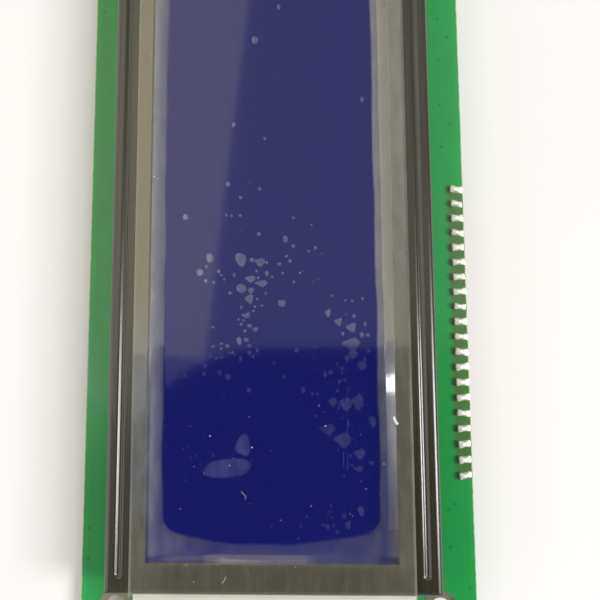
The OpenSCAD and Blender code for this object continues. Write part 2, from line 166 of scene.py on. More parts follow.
def solder_mask(name, pale, dark):
    """Green solder mask, screen printed and cured: glossy, a little cloudy, thin over the copper.
    The scored edges and the sides are bare glass epoxy, pale and matt, in thin layers. A brown stain between
    and just inside the soldered pins is partly flux left there and partly painted shade of the joints."""
    material, tree, place = begin(name)
    # From the board's edge: how far the scoring wanders, where it fades in, and where a paler margin fades in
    score_wander = 0.25
    score_edge = (-0.06, 0.1)
    margin_edge = (-0.95, -0.85)
    # Where the flux and the painted shade fade at the ends of the row of pins, and on its inner side
    half_row = PIN_PITCH * PIN_COUNT / 2
    flux_and_shade_ends = (half_row - 0.3, half_row - 0.9)
    flux_and_shade_side = (pin_row_y - 1.7, pin_row_y - 0.9)
    facing = add(tree, AXES, {}, {0: add(tree, "ShaderNodeNewGeometry").outputs["Normal"]})
    flat = add(tree, MATH, {"operation": "ABSOLUTE"}, {0: facing.outputs["Z"]})
    side = add(tree, MATH, {"operation": "LESS_THAN"}, {0: flat.outputs[0], 1: 0.5})
    point = add(tree, AXES, {}, {0: place})
    rims = []
    for axis, reach in (("X", board_high.x), ("Y", board_high.y)):
        offset = add(tree, MATH, {"operation": "ABSOLUTE"}, {0: point.outputs[axis]})
        rims.append(add(tree, MATH, {"operation": "SUBTRACT"},
                        {0: offset.outputs[0], 1: reach * MM}).outputs[0])
    from_edge = add(tree, MATH, {"operation": "MAXIMUM"}, {0: rims[0], 1: rims[1]})
    ragged = add(tree, NOISE, {}, {"Vector": place, "Scale": 1 / (1.2 * MM)})
    scored = add(tree, MATH, {"operation": "MULTIPLY_ADD"},
                 {0: ragged.outputs["Fac"], 1: score_wander * MM, 2: from_edge.outputs[0]})
    bare = add(tree, RANGE, {},
               {"Value": scored.outputs[0], "From Min": score_edge[0] * MM, "From Max": score_edge[1] * MM})
    bare = add(tree, MATH, {"operation": "MAXIMUM"}, {0: bare.outputs["Result"], 1: side.outputs[0]})
    margin = add(tree, RANGE, {},
                 {"Value": from_edge.outputs[0], "From Min": margin_edge[0] * MM,
                  "From Max": margin_edge[1] * MM})
    clouds = add(tree, NOISE, {}, {"Vector": place, "Scale": 1 / (9 * MM), "Detail": 5.0})
    green = add(tree, MIX, COLOURS, {0: clouds.outputs["Fac"], 6: colour(dark), 7: colour(pale)})
    green = add(tree, MIX, {"data_type": "RGBA", "blend_type": "ADD"},
                {0: margin.outputs["Result"], 6: green.outputs[2], 7: colour("0e2a10")})
    along = add(tree, MATH, {"operation": "SUBTRACT"}, {0: point.outputs["X"], 1: pin_row_x * MM})
    along = add(tree, MATH, {"operation": "ABSOLUTE"}, {0: along.outputs[0]})
    in_row = add(tree, RANGE, {},
                 {"Value": along.outputs[0], "From Min": flux_and_shade_ends[0] * MM, "From Max": flux_and_shade_ends[1] * MM})
    near_row = add(tree, RANGE, {},
                   {"Value": point.outputs["Y"], "From Min": flux_and_shade_side[0] * MM,
                    "From Max": flux_and_shade_side[1] * MM})
    # Brown stain by the joints: partly flux, partly painted shade between the joints and where their shadows
    # fall
    flux_and_shade = add(tree, MATH, {"operation": "MULTIPLY"},
                 {0: in_row.outputs["Result"], 1: near_row.outputs["Result"]})
    stain_and_shade = add(tree, RANGE, {}, {"Value": ragged.outputs["Fac"], "To Min": 0.45, "To Max": 0.95})
    flux_and_shade = add(tree, MATH, {"operation": "MULTIPLY"}, {0: flux_and_shade.outputs[0], 1: stain_and_shade.outputs["Result"]})
    green = add(tree, MIX, COLOURS, {0: flux_and_shade.outputs[0], 6: green.outputs[2], 7: colour("5a643a")})
    layers = add(tree, "ShaderNodeTexWave", {"bands_direction": "Z"},
                 {"Vector": place, "Scale": 0.7 / MM, "Distortion": 2.0, "Detail Scale": 0.4 / MM})
    epoxy = add(tree, MIX, COLOURS, {0: layers.outputs["Fac"], 6: colour("a9bd84"), 7: colour("cfdcae")})
    tint = add(tree, MIX, COLOURS, {0: bare.outputs[0], 6: green.outputs[2], 7: epoxy.outputs[2]})
    peel = add(tree, NOISE, {}, {"Vector": place, "Scale": 1 / (0.5 * MM), "Detail": 3.0})
    gloss = add(tree, RANGE, {}, {"Value": bare.outputs[0], "To Min": 0.2, "To Max": 0.75})
    relief = add(tree, RELIEF, {}, {"Height": peel.outputs["Fac"], "Distance": 0.004 * MM})
    shader = add(tree, SURFACE, {},
                 {"Base Color": tint.outputs[2], "Roughness": gloss.outputs["Result"], "IOR": 1.62,
                  "Normal": relief.outputs["Normal"]})
    close(tree, shader.outputs[0])
    return material


def bezel_paint():
    """Thin black stoving paint on rolled steel: brown-black, satin, with long rolling streaks along it."""
    material, tree, place = begin("black_stoving_paint")
    drawn = add(tree, "ShaderNodeMapping", {}, {"Vector": place, "Scale": (0.012, 1.0, 1.0)})
    streaks = add(tree, NOISE, {},
                  {"Vector": drawn.outputs[0], "Scale": 1 / (0.45 * MM), "Detail": 4.0, "Roughness": 0.6})
    clouds = add(tree, NOISE, {}, {"Vector": place, "Scale": 1 / (7 * MM), "Detail": 4.0})
    grain = add(tree, NOISE, {}, {"Vector": place, "Scale": 1 / (0.12 * MM), "Detail": 2.0})
    base = add(tree, MIX, COLOURS, {0: clouds.outputs["Fac"], 6: colour("17140b"), 7: colour("2b271a")})
    tint = add(tree, MIX, COLOURS, {0: streaks.outputs["Fac"], 6: base.outputs[2], 7: colour("3d3928")})
    gloss = add(tree, RANGE, {},
                {"Value": streaks.outputs["Fac"], "From Min": 0.3, "From Max": 0.7,
                 "To Min": 0.16, "To Max": 0.28})
    height = add(tree, MATH, {"operation": "MULTIPLY_ADD"},
                 {0: streaks.outputs["Fac"], 1: 2.0, 2: grain.outputs["Fac"]})
    relief = add(tree, RELIEF, {}, {"Height": height.outputs[0], "Distance": 0.003 * MM})
    shader = add(tree, SURFACE, {},
                 {"Base Color": tint.outputs[2], "Roughness": gloss.outputs["Result"], "IOR": 1.75,
                  "Normal": relief.outputs["Normal"]})
    close(tree, shader.outputs[0])
    return material


def display_blue():
    """Polariser over a blue supertwist cell at rest: deep blue, with a dot grid that hardly shows.
    The bezel keeps light from the layers below along one side of the window, so the blue is darker there."""
    material, tree, place = begin("blue_supertwist_polariser")
    dot_pitch = 0.508
    gap_share = 0.1
    shade_width = 4.5
    dot = add(tree, "ShaderNodeVectorMath", {"operation": "SCALE"}, {0: place, "Scale": 1 / (dot_pitch * MM)})
    cell = add(tree, "ShaderNodeVectorMath", {"operation": "FRACTION"}, {0: dot.outputs[0]})
    split = add(tree, AXES, {}, {0: cell.outputs[0]})
    nearest = add(tree, MATH, {"operation": "MINIMUM"}, {0: split.outputs["X"], 1: split.outputs["Y"]})
    gap = add(tree, MATH, {"operation": "LESS_THAN"}, {0: nearest.outputs[0], 1: gap_share})
    clouds = add(tree, NOISE, {}, {"Vector": place, "Scale": 1 / (30 * MM), "Detail": 2.0})
    base = add(tree, MIX, COLOURS, {0: clouds.outputs["Fac"], 6: colour("141862"), 7: colour("161a69")})
    tint = add(tree, MIX, COLOURS, {0: gap.outputs[0], 6: base.outputs[2], 7: colour("13175e")})
    point = add(tree, AXES, {}, {0: place})
    shade = add(tree, RANGE, {},
                {"Value": point.outputs["Y"], "From Min": (window_y - shade_width) * MM,
                 "From Max": window_y * MM, "To Min": 0.0, "To Max": 0.5})
    shaded = add(tree, MIX, COLOURS, {0: shade.outputs["Result"], 6: tint.outputs[2], 7: colour("050508")})
    grain = add(tree, NOISE, {}, {"Vector": place, "Scale": 1 / (0.2 * MM)})
    gloss = add(tree, RANGE, {}, {"Value": grain.outputs["Fac"], "To Min": 0.1, "To Max": 0.14})
    shader = add(tree, SURFACE, {},
                 {"Base Color": shaded.outputs[2], "Roughness": gloss.outputs["Result"],
                  "Specular IOR Level": 0.05})
    close(tree, shader.outputs[0])
    return material


def clear_film(name, tint, deep_tint, uneven):
    """Thin polyester film: each face mirrors a little, more at a low angle, and loose stretches are milky.
    The piece's own attributes say how many faces mirror there, how milky it is and how blue the milk is."""
    material, tree, place = begin(name)
    head_on_share = 0.057
    low_angle_share = 0.9
    faces = add(tree, "ShaderNodeAttribute", {"attribute_name": "gloss"}).outputs["Fac"]
    milk = add(tree, "ShaderNodeAttribute", {"attribute_name": "haze"}).outputs["Fac"]
    blue = add(tree, "ShaderNodeAttribute", {"attribute_name": "blue"}).outputs["Fac"]
    milk_tint = add(tree, MIX, COLOURS, {0: blue, 6: colour(tint), 7: colour(deep_tint)})
    slant = add(tree, "ShaderNodeLayerWeight", {}, {"Blend": 0.5}).outputs["Facing"]
    steep = add(tree, MATH, {"operation": "POWER"}, {0: slant, 1: 5.0})
    one_face = add(tree, MATH, {"operation": "MULTIPLY_ADD"},
                   {0: steep.outputs[0], 1: low_angle_share, 2: head_on_share})
    mirror = add(tree, MATH, {"operation": "MULTIPLY"}, {0: one_face.outputs[0], 1: faces})
    drawn = add(tree, "ShaderNodeMapping", {}, {"Vector": place, "Scale": (0.4, 1.0, 1.0)})
    smear = add(tree, NOISE, {}, {"Vector": drawn.outputs[0], "Scale": 1 / (1.5 * MM), "Detail": 5.0})
    smeared = add(tree, RANGE, {},
                  {"Value": smear.outputs["Fac"], "From Min": 0.3, "From Max": 0.7,
                   "To Min": 1 - uneven, "To Max": 1 + uneven})
    cloudy = add(tree, MATH, {"operation": "MULTIPLY"}, {0: smeared.outputs["Result"], 1: milk})
    cover = add(tree, MATH, {"operation": "ADD", "use_clamp": True},
                {0: mirror.outputs[0], 1: cloudy.outputs[0]})
    share = add(tree, MATH, {"operation": "DIVIDE", "use_clamp": True},
                {0: mirror.outputs[0], 1: cover.outputs[0]})
    waves = add(tree, NOISE, {}, {"Vector": place, "Scale": 1 / (2.5 * MM), "Detail": 2.0})
    relief = add(tree, RELIEF, {}, {"Height": waves.outputs["Fac"], "Distance": 0.002 * MM})
    shader = add(tree, SURFACE, {},
                 {"Base Color": milk_tint.outputs[2], "Metallic": share.outputs[0], "Roughness": 0.06,
                  "Normal": relief.outputs["Normal"]})
    clear = add(tree, "ShaderNodeBsdfTransparent")
    mixed = add(tree, "ShaderNodeMixShader", {},
                {0: cover.outputs[0], 1: clear.outputs[0], 2: shader.outputs[0]})
    close(tree, mixed.outputs[0])
    return material


def clear_sheet(name, tint, cover):
    """Clear glass or acrylic: mostly see-through, with a faint tint and a clean gloss."""
    material, tree, place = begin(name)
    faint = add(tree, NOISE, {}, {"Vector": place, "Scale": 1 / (12 * MM), "Detail": 2.0})
    gloss = add(tree, RANGE, {}, {"Value": faint.outputs["Fac"], "To Min": 0.03, "To Max": 0.07})
    shader = add(tree, SURFACE, {}, {"Base Color": colour(tint), "Roughness": gloss.outputs["Result"]})
    clear = add(tree, "ShaderNodeBsdfTransparent")
    mixed = add(tree, "ShaderNodeMixShader", {}, {0: cover, 1: clear.outputs[0], 2: shader.outputs[0]})
    close(tree, mixed.outputs[0])
    return material


def tinned_metal(name, pale, dark, rough, lump_mm, lump_depth_mm, bare=1.0):
    """Tin-lead left to freeze on copper: bright grey-white metal with soft lumps and duller patches of flux.
    Where less of it is bare, a dull white skin shows as well."""
    material, tree, place = begin(name)
    lumps = add(tree, NOISE, {}, {"Vector": place, "Scale": 1 / (lump_mm * MM), "Detail": 3.0})
    dull = add(tree, NOISE, {}, {"Vector": place, "Scale": 0.4 / (lump_mm * MM), "Detail": 4.0})
    tint = add(tree, MIX, COLOURS, {0: dull.outputs["Fac"], 6: colour(dark), 7: colour(pale)})
    gloss = add(tree, RANGE, {},
                {"Value": dull.outputs["Fac"], "From Min": 0.3, "From Max": 0.7,
                 "To Min": rough[1], "To Max": rough[0]})
    relief = add(tree, RELIEF, {}, {"Height": lumps.outputs["Fac"], "Distance": lump_depth_mm * MM})
    shader = add(tree, SURFACE, {},
                 {"Base Color": tint.outputs[2], "Metallic": bare, "Roughness": gloss.outputs["Result"],
                  "Normal": relief.outputs["Normal"]})
    close(tree, shader.outputs[0])
    return material


def chip_part(name, node, body_pale, body_dark):
    """Fired ceramic chip with tinned ends: the body is matt, the ends are soft bright metal."""
    material, tree, place = begin(name)
    low, high = box_mm(node)
    end_length = 0.4
    middle = (low.y + high.y) / 2
    point = add(tree, AXES, {}, {0: place})
    across = add(tree, MATH, {"operation": "SUBTRACT"}, {0: point.outputs["Y"], 1: middle * MM})
    reach = add(tree, MATH, {"operation": "ABSOLUTE"}, {0: across.outputs[0]})
    ends = add(tree, MATH, {"operation": "GREATER_THAN"},
               {0: reach.outputs[0], 1: (high.y - middle - end_length) * MM})
    specks = add(tree, NOISE, {}, {"Vector": place, "Scale": 1 / (0.25 * MM), "Detail": 3.0})
    body = add(tree, MIX, COLOURS, {0: specks.outputs["Fac"], 6: colour(body_dark), 7: colour(body_pale)})
    tint = add(tree, MIX, COLOURS, {0: ends.outputs[0], 6: body.outputs[2], 7: colour("c9c6be")})
    gloss = add(tree, RANGE, {}, {"Value": specks.outputs["Fac"], "To Min": 0.25, "To Max": 0.45})
    shader = add(tree, SURFACE, {},
                 {"Base Color": tint.outputs[2], "Metallic": ends.outputs[0],
                  "Roughness": gloss.outputs["Result"]})
    close(tree, shader.outputs[0])
    return material


def zebra_rubber():
    """Silicone contact strip: black carbon layers between pale ones, drawn four times as coarse to show."""
    material, tree, place = begin("layered_silicone_rubber")
    layer_pitch = 0.4
    band_per_scale = 0.314
    bands = add(tree, "ShaderNodeTexWave", {"bands_direction": "X"},
                {"Vector": place, "Scale": band_per_scale / (layer_pitch * MM), "Distortion": 0.3})
    dark = add(tree, MATH, {"operation": "GREATER_THAN"}, {0: bands.outputs["Fac"], 1: 0.6})
    tint = add(tree, MIX, COLOURS, {0: dark.outputs[0], 6: colour("d8b3a4"), 7: colour("201c1c")})
    shader = add(tree, SURFACE, {}, {"Base Color": tint.outputs[2], "Roughness": 0.6})
    close(tree, shader.outputs[0])
    return material


film_material = clear_film("clear_polyester_film", "fefae8", "dfe6ff", 0.22)
bubble_material = clear_film("film_over_trapped_air", "ccd2ff", "98a2ff", 0.45)
mask_material = solder_mask("green_solder_mask", "28a652", "1f9a47")
solder_material = tinned_metal("frozen_tin_lead_solder", "f8fbea", "eceedb", (0.3, 0.45), 0.5, 0.02, 0.4)
FINISHES = {
    "solder_mask": mask_material,
    "tinned_copper": tinned_metal("tinned_copper", "d6d2b4", "b5b08e", (0.28, 0.45), 0.9, 0.02),
    "bezel_paint": bezel_paint(),
    "front_polariser": display_blue(),
    "cell_glass": clear_sheet("soda_lime_cell_glass", "cfe0da", 0.3),
    # Cured resin seal: amber, dull, soft-edged
    "seal_resin": mottled("cured_seal_resin", "c9b07c", "ad9360", 2.0, (0.4, 0.55), 0.2, 0.004),
    # Dyed stretched film: even grey violet with a low sheen
    "rear_polariser": mottled("dyed_polariser_film", "6a6688", "5d5a7c", 15.0, (0.2, 0.28), 0.3, 0.001),
    "zebra_rubber": zebra_rubber(),
    # Moulded white ABS: warm white, satin, with a faint spark-eroded grain
    "backlight_plastic": mottled("moulded_white_abs", "e9e5d9", "dedac9", 6.0, (0.38, 0.55), 0.25, 0.006),
    # Foamed white polyester: even matt white
    "reflector_film": mottled("foamed_white_polyester", "f3f4f2", "e9ebe9", 5.0, (0.5, 0.65), 0.15, 0.003),
    "guide_acrylic": clear_sheet("polished_clear_acrylic", "eaf3f6", 0.18),
    # Beaded diffuser: milky, finely grained
    "diffuser_film": mottled("beaded_diffuser_film", "eef0ee", "e2e5e4", 4.0, (0.6, 0.8), 0.1, 0.004),
    # White mask on the LED strip
    "led_board_mask": mottled("white_solder_mask", "eeece2", "e2dfd2", 3.0, (0.3, 0.42), 0.2, 0.003),
    # Phosphor in clear resin: dense yellow, glossy
    "led_phosphor": mottled("phosphor_resin", "f0d95c", "dfc23f", 0.8, (0.12, 0.2), 0.1, 0.003),
    "solder": solder_material,
    # Glass-filled moulding: black, dry, with fine flow grain
    "header_plastic": mottled("glass_filled_black_polyester", "232326", "151517", 1.2,
                              (0.38, 0.6), 0.12, 0.008),
    "pin_plating": tinned_metal("gold_flash_on_brass", "e3bf6a", "cda54e", (0.2, 0.34), 0.3, 0.006),
    # Glob of casting epoxy: black, glossy, slightly wavy skin
    "chip_epoxy": mottled("black_casting_epoxy", "1c1c1d", "101011", 3.0, (0.2, 0.42), 1.1, 0.05),
    # Transfer-moulded epoxy: dark grey, evenly matt
    "moulding_epoxy": mottled("transfer_moulded_epoxy", "343436", "262628", 0.7, (0.5, 0.68), 0.1, 0.012),
    "lead_tin": tinned_metal("tinned_lead_frame", "dad8d0", "c0beb4", (0.22, 0.38), 0.25, 0.006),
    "resistor_ceramic": chip_part("glazed_chip_resistor", "chip_resistors", "26262a", "151518"),
    "capacitor_ceramic": chip_part("fired_chip_capacitor", "chip_capacitors", "b99b72", "9c7f58"),
    "film_pet": film_material,
}

SLOT_NODES = {
    "solder_mask": ["circuit_board"],
    "tinned_copper": ["mounting_rings"],
    "bezel_paint": ["bezel"],
    "front_polariser": ["front_polariser"],
    "cell_glass": ["front_glass", "rear_glass"],
    "seal_resin": ["cell_seal"],
    "rear_polariser": ["rear_polariser"],
    "zebra_rubber": ["zebra_strip_left", "zebra_strip_right"],
    "backlight_plastic": ["backlight_frame"],
    "reflector_film": ["backlight_reflector"],
    "guide_acrylic": ["light_guide"],
    "diffuser_film": ["diffuser_sheet"],
    "led_board_mask": ["led_board"],
    "led_phosphor": ["led_chips"],
    "solder": ["backlight_solder", "header_solder"],
    "header_plastic": ["header_strip"],
    "pin_plating": ["header_pins"],
    "chip_epoxy": ["common_driver_cap", "segment_driver_cap_1", "segment_driver_cap_2",
                   "segment_driver_cap_3"],
    "moulding_epoxy": ["voltage_inverter"],
    "lead_tin": ["inverter_leads", "backlight_legs"],
    "resistor_ceramic": ["chip_resistors"],
    "capacitor_ceramic": ["chip_capacitors"],
    "film_pet": ["protective_film"],
}
for slot_name, node_names in SLOT_NODES.items():
    for node_name in node_names:
        for material_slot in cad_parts[node_name].material_slots:
            material_slot.material = FINISHES[slot_name]


SHARP_ANGLE = math.radians(50)


def new_piece(name, points, faces, material, smooth=True):
    """A mesh object from points in millimetres, its faces turned outwards."""
    mesh = bpy.data.meshes.new(name)
    mesh.from_pydata([Vector(p) * MM for p in points], [], faces)
    mesh.materials.append(material)
    work = bmesh.new()
    work.from_mesh(mesh)
    bmesh.ops.recalc_face_normals(work, faces=work.faces)
    work.to_mesh(mesh)
    work.free()
    if smooth:
        mesh.shade_smooth()
        mesh.set_sharp_from_angle(angle=SHARP_ANGLE)
    piece = bpy.data.objects.new(name, mesh)
    bpy.context.scene.collection.objects.link(piece)
    return piece


def hand_over(piece, slot, *replaced):
    """Lets a piece ride with the module, in place of solids of the frame. The slot is not used."""
    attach(piece, "root")
    if replaced:
        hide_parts(*replaced)


def set_points(piece, **values):
    """Stores numbers for the points of a piece, a list for each name."""
    for name, numbers in values.items():
        piece.data.attributes.new(name, "FLOAT", "POINT").data.foreach_set("value", numbers)


# Protective film: flat on the bezel, hanging free at the window's edges, stuck to the display inside
FILM_SHEET = 0.05
FILM_LIFT = 0.02
FILM_RIPPLE = 0.028
RIPPLE_LENGTH = (11, 6)
FILM_RIM = 0.25
CONTACT_X = 49.2
CONTACT_Y = 16.8
CONTACT_SHIFT_Y = -0.2
CONTACT_CORNER = 2.2
CONTACT_BULGE = 2.2
CONTACT_WANDER = 0.25
WANDER_LENGTH = 7
AIR_EDGE = 0.3
# How round the loose film hangs on the left, its two straight falls on the right with a fold between, and how
# round it hangs at the ends and how much more in their corners
SIDE_SAG = 1.4
STEEP_FALL = 1.47
FLAT_FALL = 0.42
END_SAG = 3.4
CORNER_SAG = 4
# Share of the way from a side to an end over which the fall of the one goes over into that of the other
SIDE_TO_END = (0.4, 0.8)
# Stretches over which the look of the film changes, in Y for the right half and in X for the others
RIGHT_HALF = (-8, 12)
LOWER_HALF = (5, 30)
LOWER_END = (40, 50)
TOP_X = (0, 14)
LEFT_EDGE_X = (18, 30)
# Where the lower part of the long sides starts, left and right, and how far it fades in
LOW_SIDE_X = (38, 32)
LOW_SIDE_FADE = 9
# Stretches of Y on either side: into the corners for the sag, the milk and the film on the bezel, into the
# loose film of a long side, and by the left edge
SAG_CORNER_Y = (7, 14)
MILK_CORNER_Y = (9, 16)
BEZEL_CORNER_Y = (15, 20)
LONG_SIDE_Y = (15.5, 17.5)
LEFT_EDGE_Y = (window_y - 0.7, window_y - 0.2)
# Stretches of X at the ends: for the milk, for the gloss that is lost and comes back on the bezel, past the
# end on the bezel, by the lower edge and in the clean stretch
MILK_END_X = (CONTACT_X - 8, CONTACT_X + 1)
GLOSS_END_X = (CONTACT_X - 3, CONTACT_X + 1)
GLOSS_BACK_X = (window_x + 0.3, window_x + 0.9)
PAST_END_X = (window_x - 1, window_x + 1)
LOWER_EDGE_X = (window_x - 1.4, window_x - 0.7)
CLEAN_END_X = (CONTACT_X + 0.9, CONTACT_X + 1.4)
# Clean stretch of the lower end: where in Y it starts, rises to the full and stops, and its share before that
CLEAN_START_Y = (-10.8, -10)
CLEAN_RISE_Y = (-8.8, -7.6)
CLEAN_STOP_Y = (4.6, 7.6)
CLEAN_FIRST = 0.42
# Milk of the film on the bezel: everywhere, on the right or in the lower half, at the upper right, more
# towards the top right, at the lower left, and along its rim as a painted highlight of the cut edge, there
# everywhere and in the lower half
BEZEL_MILK = 0.02
SMEARED_MILK = 0.07
UPPER_RIGHT_MILK = 0.02
TOP_RIGHT_MILK = 0.032
LOWER_LEFT_MILK = 0.045
RIM_HIGHLIGHT_MILK = (0.03, 0.07)
# Milk of the loose film: everywhere, added where it hangs high, and where it hangs low at the upper right
LOOSE_MILK = 0.045
HIGH_MILK = 0.16
LOW_RIGHT_MILK = 0.14
# Shares of the milk that are lost: on the bezel past the window's ends, and in the loose film at the upper
# right, at the ends, low on the long sides, by the lower edge and by the left edge; the last two darken the
# film along the window's edge as painted shade
PAST_END_LOSS = 0.25
UPPER_RIGHT_LOSS = 0.7
END_LOSS = 0.49
LOW_SIDE_LOSS = 0.42
LOWER_EDGE_SHADE_LOSS = 0.5
LEFT_EDGE_SHADE_LOSS = 0.6
# Shares that are added: in the left and right corners of the ends, and in the lower half
CORNER_GAIN = (0.36, 0.06)
LOWER_GAIN = 0.35
# Gloss: the share that the loose film keeps at the window's ends, how much less is lost in the clean stretch,
# and the share lost low on the long sides
END_GLOSS = 0.12
CLEAN_GAIN = 0.5
LOW_SIDE_DULL = 0.7
# Faces that mirror: where the film sticks to the display, and under the loose film
STUCK_GLOSS = 0.92
UNDER_GLOSS = 2.0
# How blue the milk is in the lower half: on the left of the bezel, and in the window
BEZEL_BLUE = 0.6
WINDOW_BLUE = 0.5


def ease(value, start, end):
    """Rises smoothly from 0 at start to 1 at end."""
    share = min(max((value - start) / (end - start), 0), 1)
    return share * share * (3 - 2 * share)


def outside_contact(x, y):
    """Distance from the stretch where the film sticks to the display, negative inside it."""
    y -= CONTACT_SHIFT_Y
    wander = CONTACT_WANDER * noise.noise(Vector((x / WANDER_LENGTH, y / WANDER_LENGTH, 1.5)))
    reach_x = CONTACT_X - CONTACT_BULGE * (y / CONTACT_Y) ** 2
    over_x = abs(x) - reach_x + CONTACT_CORNER
    over_y = abs(y) - CONTACT_Y + CONTACT_CORNER
    return math.hypot(max(over_x, 0), max(over_y, 0)) + min(max(over_x, over_y), 0) - CONTACT_CORNER + wander


def film_at(x, y):
    """Level of the film's lower face, and how much air is under it."""
    into_window = min(window_x - abs(x), window_y - abs(y))
    if into_window <= 0:
        swell = noise.noise(Vector((x / RIPPLE_LENGTH[0], y / RIPPLE_LENGTH[1], 7.0)))
        return bezel_level + FILM_LIFT + FILM_RIPPLE * (0.5 + 0.5 * swell), 1.0
    away = outside_contact(x, y)
    if away <= 0:
        return display_level + FILM_LIFT, 0.0
    down = into_window / (into_window + away)
    at_end = ease((window_y - abs(y)) / (window_x - abs(x) + window_y - abs(y)), *SIDE_TO_END)
    fall = 1 - (1 - down) ** SIDE_SAG if y < 0 else min(STEEP_FALL * down, 1 - FLAT_FALL * (1 - down))
    end_sag = END_SAG + CORNER_SAG * ease(abs(y - CONTACT_SHIFT_Y), *SAG_CORNER_Y)
    fall += (1 - (1 - down) ** end_sag - fall) * at_end
    return FILM_LIFT + bezel_level + (display_level - bezel_level) * fall, min(away / AIR_EDGE, 1.0)


def clean_end(x, y):
    """How far a place is in the stretch of the lower end where the film hangs clean by the bezel."""
    rise = ease(y, *CLEAN_START_Y) * (CLEAN_FIRST + (1 - CLEAN_FIRST) * ease(y, *CLEAN_RISE_Y))
    return rise * (1 - ease(y, *CLEAN_STOP_Y)) * ease(x, *CLEAN_END_X)


def low_side(x, y):
    """How far a place is in the lower part of a long side, where the loose film mirrors and clouds less."""
    start = LOW_SIDE_X[0 if y <= 0 else 1]
    return ease(x, start, start + LOW_SIDE_FADE) * ease(abs(y), *LONG_SIDE_Y)


def film_haze(x, y, level):
    """How milky the film is: smeared on the right and in the lower half, and more where it hangs high."""
    right = ease(y, *RIGHT_HALF)
    lower = ease(x, *LOWER_HALF)
    upper_right = right * (1 - lower)
    if min(window_x - abs(x), window_y - abs(y)) <= 0:
        past_end = ease(abs(x), *PAST_END_X) * (1 - ease(abs(y), *BEZEL_CORNER_Y))
        smear = BEZEL_MILK + SMEARED_MILK * max(right, lower) + UPPER_RIGHT_MILK * upper_right
        smear += TOP_RIGHT_MILK * right * ease(-x, *TOP_X)
        smear += LOWER_LEFT_MILK * lower * (1 - right) * (1 - ease(x, *LOWER_END))
        return smear * (1 - PAST_END_LOSS * past_end)
    lift = (level - display_level) / (bezel_level - display_level)
    at_end = ease(abs(x), *MILK_END_X)
    corner = CORNER_GAIN[0 if y < 0 else 1] * ease(abs(y), *MILK_CORNER_Y)
    milk = (LOOSE_MILK + HIGH_MILK * lift) * (1 - UPPER_RIGHT_LOSS * upper_right)
    milk += LOW_RIGHT_MILK * (1 - lift) ** 2 * upper_right
    milk *= (1 + LOWER_GAIN * lower) * (1 - at_end * (END_LOSS - corner))
    milk *= 1 - LOW_SIDE_LOSS * low_side(x, y)
    # Less milk by the lower and left edges of the window: painted shade of the bezel's edge
    shade_by_lower_edge = ease(x, *LOWER_EDGE_X) * (1 - clean_end(x, y))
    shade_by_left_edge = ease(-y, *LEFT_EDGE_Y) * ease(x, *LEFT_EDGE_X)
    return milk * (1 - LOWER_EDGE_SHADE_LOSS * shade_by_lower_edge) * (1 - LEFT_EDGE_SHADE_LOSS * shade_by_left_edge)


def film_gloss(x, y):
    """Share of its gloss that the film keeps: little at the window's ends, more in a clean stretch there."""
    at_end = ease(abs(x), *GLOSS_END_X) * (1 - ease(abs(x), *GLOSS_BACK_X))
    kept = 1 - (1 - END_GLOSS) * at_end * (1 - CLEAN_GAIN * clean_end(x, y))
    return kept * (1 - LOW_SIDE_DULL * low_side(x, y)) if abs(y) < window_y else kept


def steps_between(stops):
    """Places from the first stop to the last, each stretch in equal steps of about its own size."""
    places = [stops[0][0]]
    for (start, step), (end, _) in zip(stops, stops[1:]):
        count = max(round((end - start) / step), 1)
        places += [start + (end - start) * (i + 1) / count for i in range(count)]
    return places


def make_film():
    """The film as a thin closed sheet on a grid that is finer in the loose stretches."""
    even_x, even_y = 46, 15.5
    xs = steps_between([(film_low.x, 0.35), (-window_x, 0.25), (-even_x, 0.6), (even_x, 0.25),
                        (window_x, 0.35), (film_high.x, 0)])
    ys = steps_between([(film_low.y, 0.25), (-window_y, 0.2), (-even_y, 0.8), (even_y, 0.2),
                        (window_y, 0.25), (film_high.y, 0)])
    points, faces, gloss, haze, blue = [], [], [], [], []
    for upper in (0, 1):
        for x in xs:
            for y in ys:
                level, air = film_at(x, y)
                rim = min(x - film_low.x, film_high.x - x, y - film_low.y, film_high.y - y) < FILM_RIM
                on_bezel = max(abs(x) - window_x, abs(y) - window_y) >= 0
                points.append((x, y, level + upper * FILM_SHEET))
                over_air = STUCK_GLOSS + (1 - STUCK_GLOSS) * air if upper else UNDER_GLOSS * air
                gloss.append(film_gloss(x, y) * (1.0 if on_bezel else over_air))
                lower = ease(x, *LOWER_HALF)
                milk = 0.0 if upper else film_haze(x, y, level) * air
                # Milk along the rim paints the highlight where the film's cut edge catches light
                haze.append(RIM_HIGHLIGHT_MILK[0] + RIM_HIGHLIGHT_MILK[1] * lower if rim else milk)
                tinge = BEZEL_BLUE * (1 - ease(y, *RIGHT_HALF)) if on_bezel else WINDOW_BLUE
                blue.append(lower * (1 - ease(x, *LOWER_END)) * tinge)
    rows, columns = len(xs), len(ys)
    layer = rows * columns
    for i in range(rows - 1):
        for j in range(columns - 1):
            a = i * columns + j
            quad = (a, a + columns, a + columns + 1, a + 1)
            faces += [quad, tuple(layer + k for k in quad)]
    border = [i * columns for i in range(rows)]
    border += [(rows - 1) * columns + j for j in range(1, columns)]
    border += [i * columns + columns - 1 for i in range(rows - 2, -1, -1)]
    border += list(range(columns - 2, 0, -1))
    for a, b in zip(border, border[1:] + border[:1]):
        faces.append((a, b, layer + b, layer + a))
    film = new_piece("film_sheet", points, faces, film_material)
    set_points(film, gloss=gloss, haze=haze, blue=blue)
    hand_over(film, "film_pet", "protective_film")


make_film()

